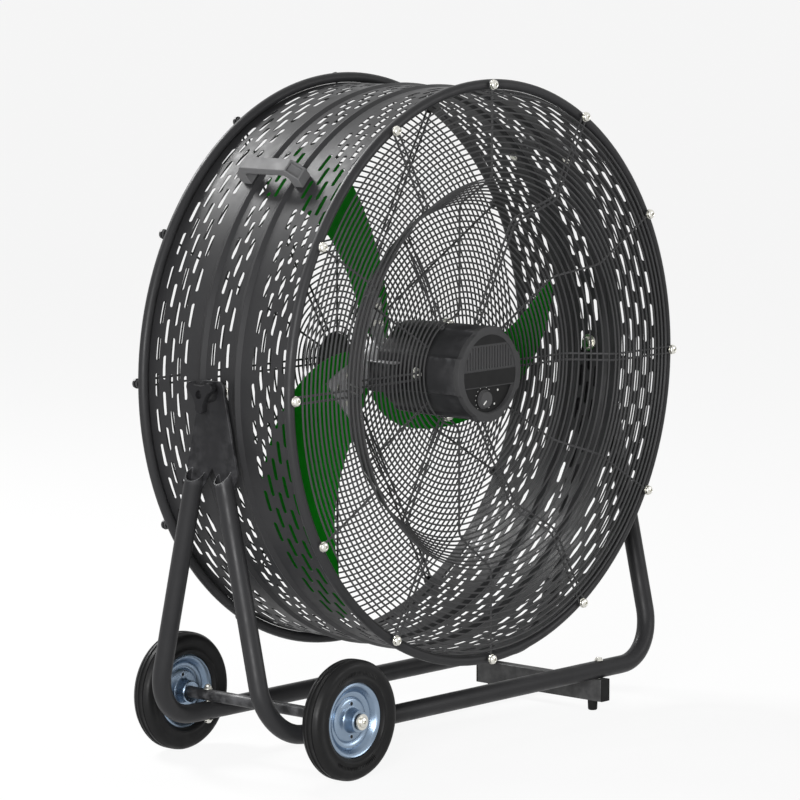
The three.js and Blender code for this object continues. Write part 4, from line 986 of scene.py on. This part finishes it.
# ------------------------------------------------------------------ foot bar and feet
mid = (BAR_TOP + BAR_BOTTOM) / 2
section = [(-11, -20), (-11, 20), (11, 20), (11, -20), (8, -20), (8, 17), (-8, 17), (-8, -20)]
channel = prism(section[::-1], -BAR_HALF + 3, BAR_HALF - 3)
bar_paint = finish("foot_bar_paint", (0.017, 0.017, 0.0175), 0.5, mottle=0.12, grain=900, bump=0.25,
                   wear=(0.07, 0.07, 0.07))
piece("foot_bar_channel", shifted(channel, BAR_X, 0, mid), bar_paint, "stand", ["foot_bar"],
      lift=0, bevel=0.8)
for name, side in ENDS:
    low, high = sorted((side * (BAR_HALF - 3), side * BAR_HALF))
    end_cap = block(-11, 11, -20, 20, low, high)
    piece(f"{name}_bar_end_cap", shifted(end_cap, BAR_X, 0, mid), foot_rubber, "stand", lift=0,
          bevel=0.8)
    foot = turned([(0.01, 0), (6.6, 0), (7.8, 0.8), (8.3, 2.5), (9.0, BAR_BOTTOM - 1), (9.0, BAR_BOTTOM - 0.2),
                   (7.6, BAR_BOTTOM - 0.2), (7.6, BAR_BOTTOM + 14), (0.01, BAR_BOTTOM + 14)], 36)
    foot = shifted(moved(foot, about("X", pi / 2)), BAR_X, side * (BAR_HALF - 30), 0)
    piece(f"{name}_foot_pad", foot, foot_rubber, "stand", [f"{name}_foot"], lift=0)


# ------------------------------------------------------------------ floor, world, lamps and camera
FLOOR_HALF = 60              # metres
WHITE_SHARE = 0.9            # how much of the floor the camera sees as plain white
WORLD_LEVEL = 0.1            # the world's strength as a light


def studio_white(tree):
    """1 for the camera, for reflections and for what is seen through glass, else 0."""
    path = tree.nodes.new("ShaderNodeLightPath")
    seen = node(tree, "ShaderNodeMath", operation="MAXIMUM")
    link(tree, path.outputs["Is Camera Ray"], seen.inputs[0])
    link(tree, path.outputs["Is Glossy Ray"], seen.inputs[1])
    through = node(tree, "ShaderNodeMath", operation="MAXIMUM")
    link(tree, seen.outputs["Value"], through.inputs[0])
    link(tree, path.outputs["Is Transmission Ray"], through.inputs[1])
    return through.outputs["Value"]


floor_mesh = bpy.data.meshes.new("floor")
floor_mesh.from_pydata([(-FLOOR_HALF, -FLOOR_HALF, 0), (FLOOR_HALF, -FLOOR_HALF, 0),
                        (FLOOR_HALF, FLOOR_HALF, 0), (-FLOOR_HALF, FLOOR_HALF, 0)], [], [(0, 1, 2, 3)])
floor = added("floor", floor_mesh)
floor_look = bpy.data.materials.new("floor_white")
floor_look.use_nodes = True
tree = floor_look.node_tree
matt = tree.nodes["Principled BSDF"]
matt.inputs["Base Color"].default_value = (0.8, 0.8, 0.8, 1)
matt.inputs["Roughness"].default_value = 0.9
glow = node(tree, "ShaderNodeEmission")
glow.inputs["Color"].default_value = (1, 1, 1, 1)
share = node(tree, "ShaderNodeMath", operation="MULTIPLY")
share.inputs[1].default_value = WHITE_SHARE
link(tree, studio_white(tree), share.inputs[0])
blend = tree.nodes.new("ShaderNodeMixShader")
link(tree, share.outputs["Value"], blend.inputs[0])
link(tree, matt.outputs[0], blend.inputs[1])
link(tree, glow.outputs[0], blend.inputs[2])
link(tree, blend.outputs[0], tree.nodes["Material Output"].inputs["Surface"])
floor_mesh.materials.append(floor_look)

world = bpy.data.worlds.new("studio")
bpy.context.scene.world = world
world.use_nodes = True
tree = world.node_tree
background = tree.nodes["Background"]
background.inputs["Color"].default_value = (1, 1, 1, 1)
level = node(tree, "ShaderNodeMapRange")
level.inputs["To Min"].default_value = WORLD_LEVEL
level.inputs["To Max"].default_value = 1.0
link(tree, studio_white(tree), level.inputs["Value"])
link(tree, level.outputs["Result"], background.inputs["Strength"])

CAMERA_TURN, CAMERA_RISE, CAMERA_DISTANCE = radians(-48.37), radians(7.26), 7.6798
TARGET = Vector((-0.0159, 0.0162, (PIVOT - 59.1) / MM))


def bearing(turn, rise):
    """The way from the fan towards something at that turn and rise."""
    return Vector((sin(turn) * cos(rise), -cos(turn) * cos(rise), sin(rise)))


back = bearing(CAMERA_TURN, CAMERA_RISE)
camera = added("camera", bpy.data.cameras.new("camera"))
camera.data.lens = 200.36
camera.data.sensor_width = 36
camera.data.clip_end = 200
camera.location = TARGET + back * CAMERA_DISTANCE
camera.rotation_euler = (-back).to_track_quat("-Z", "Y").to_euler()
bpy.context.scene.camera = camera


def lamp(name, turn, rise, distance, size, power):
    """An area lamp aimed at the fan, turn degrees to the right of the camera's bearing."""
    data = bpy.data.lights.new(name, "AREA")
    data.energy = power
    data.size = size
    made = added(name, data)
    away = bearing(CAMERA_TURN + radians(turn), radians(rise))
    made.location = TARGET + away * distance
    made.rotation_euler = away.to_track_quat("Z", "Y").to_euler()


lamp("front_softbox", -10, 9, 4.5, 1.5, 240)
lamp("top_back_softbox", -128, 42, 4.2, 1.3, 210)
lamp("right_fill", 80, 15, 4, 1.5, 40)

scene = bpy.context.scene
scene.view_settings.view_transform = "Standard"
scene.view_settings.look = "None"
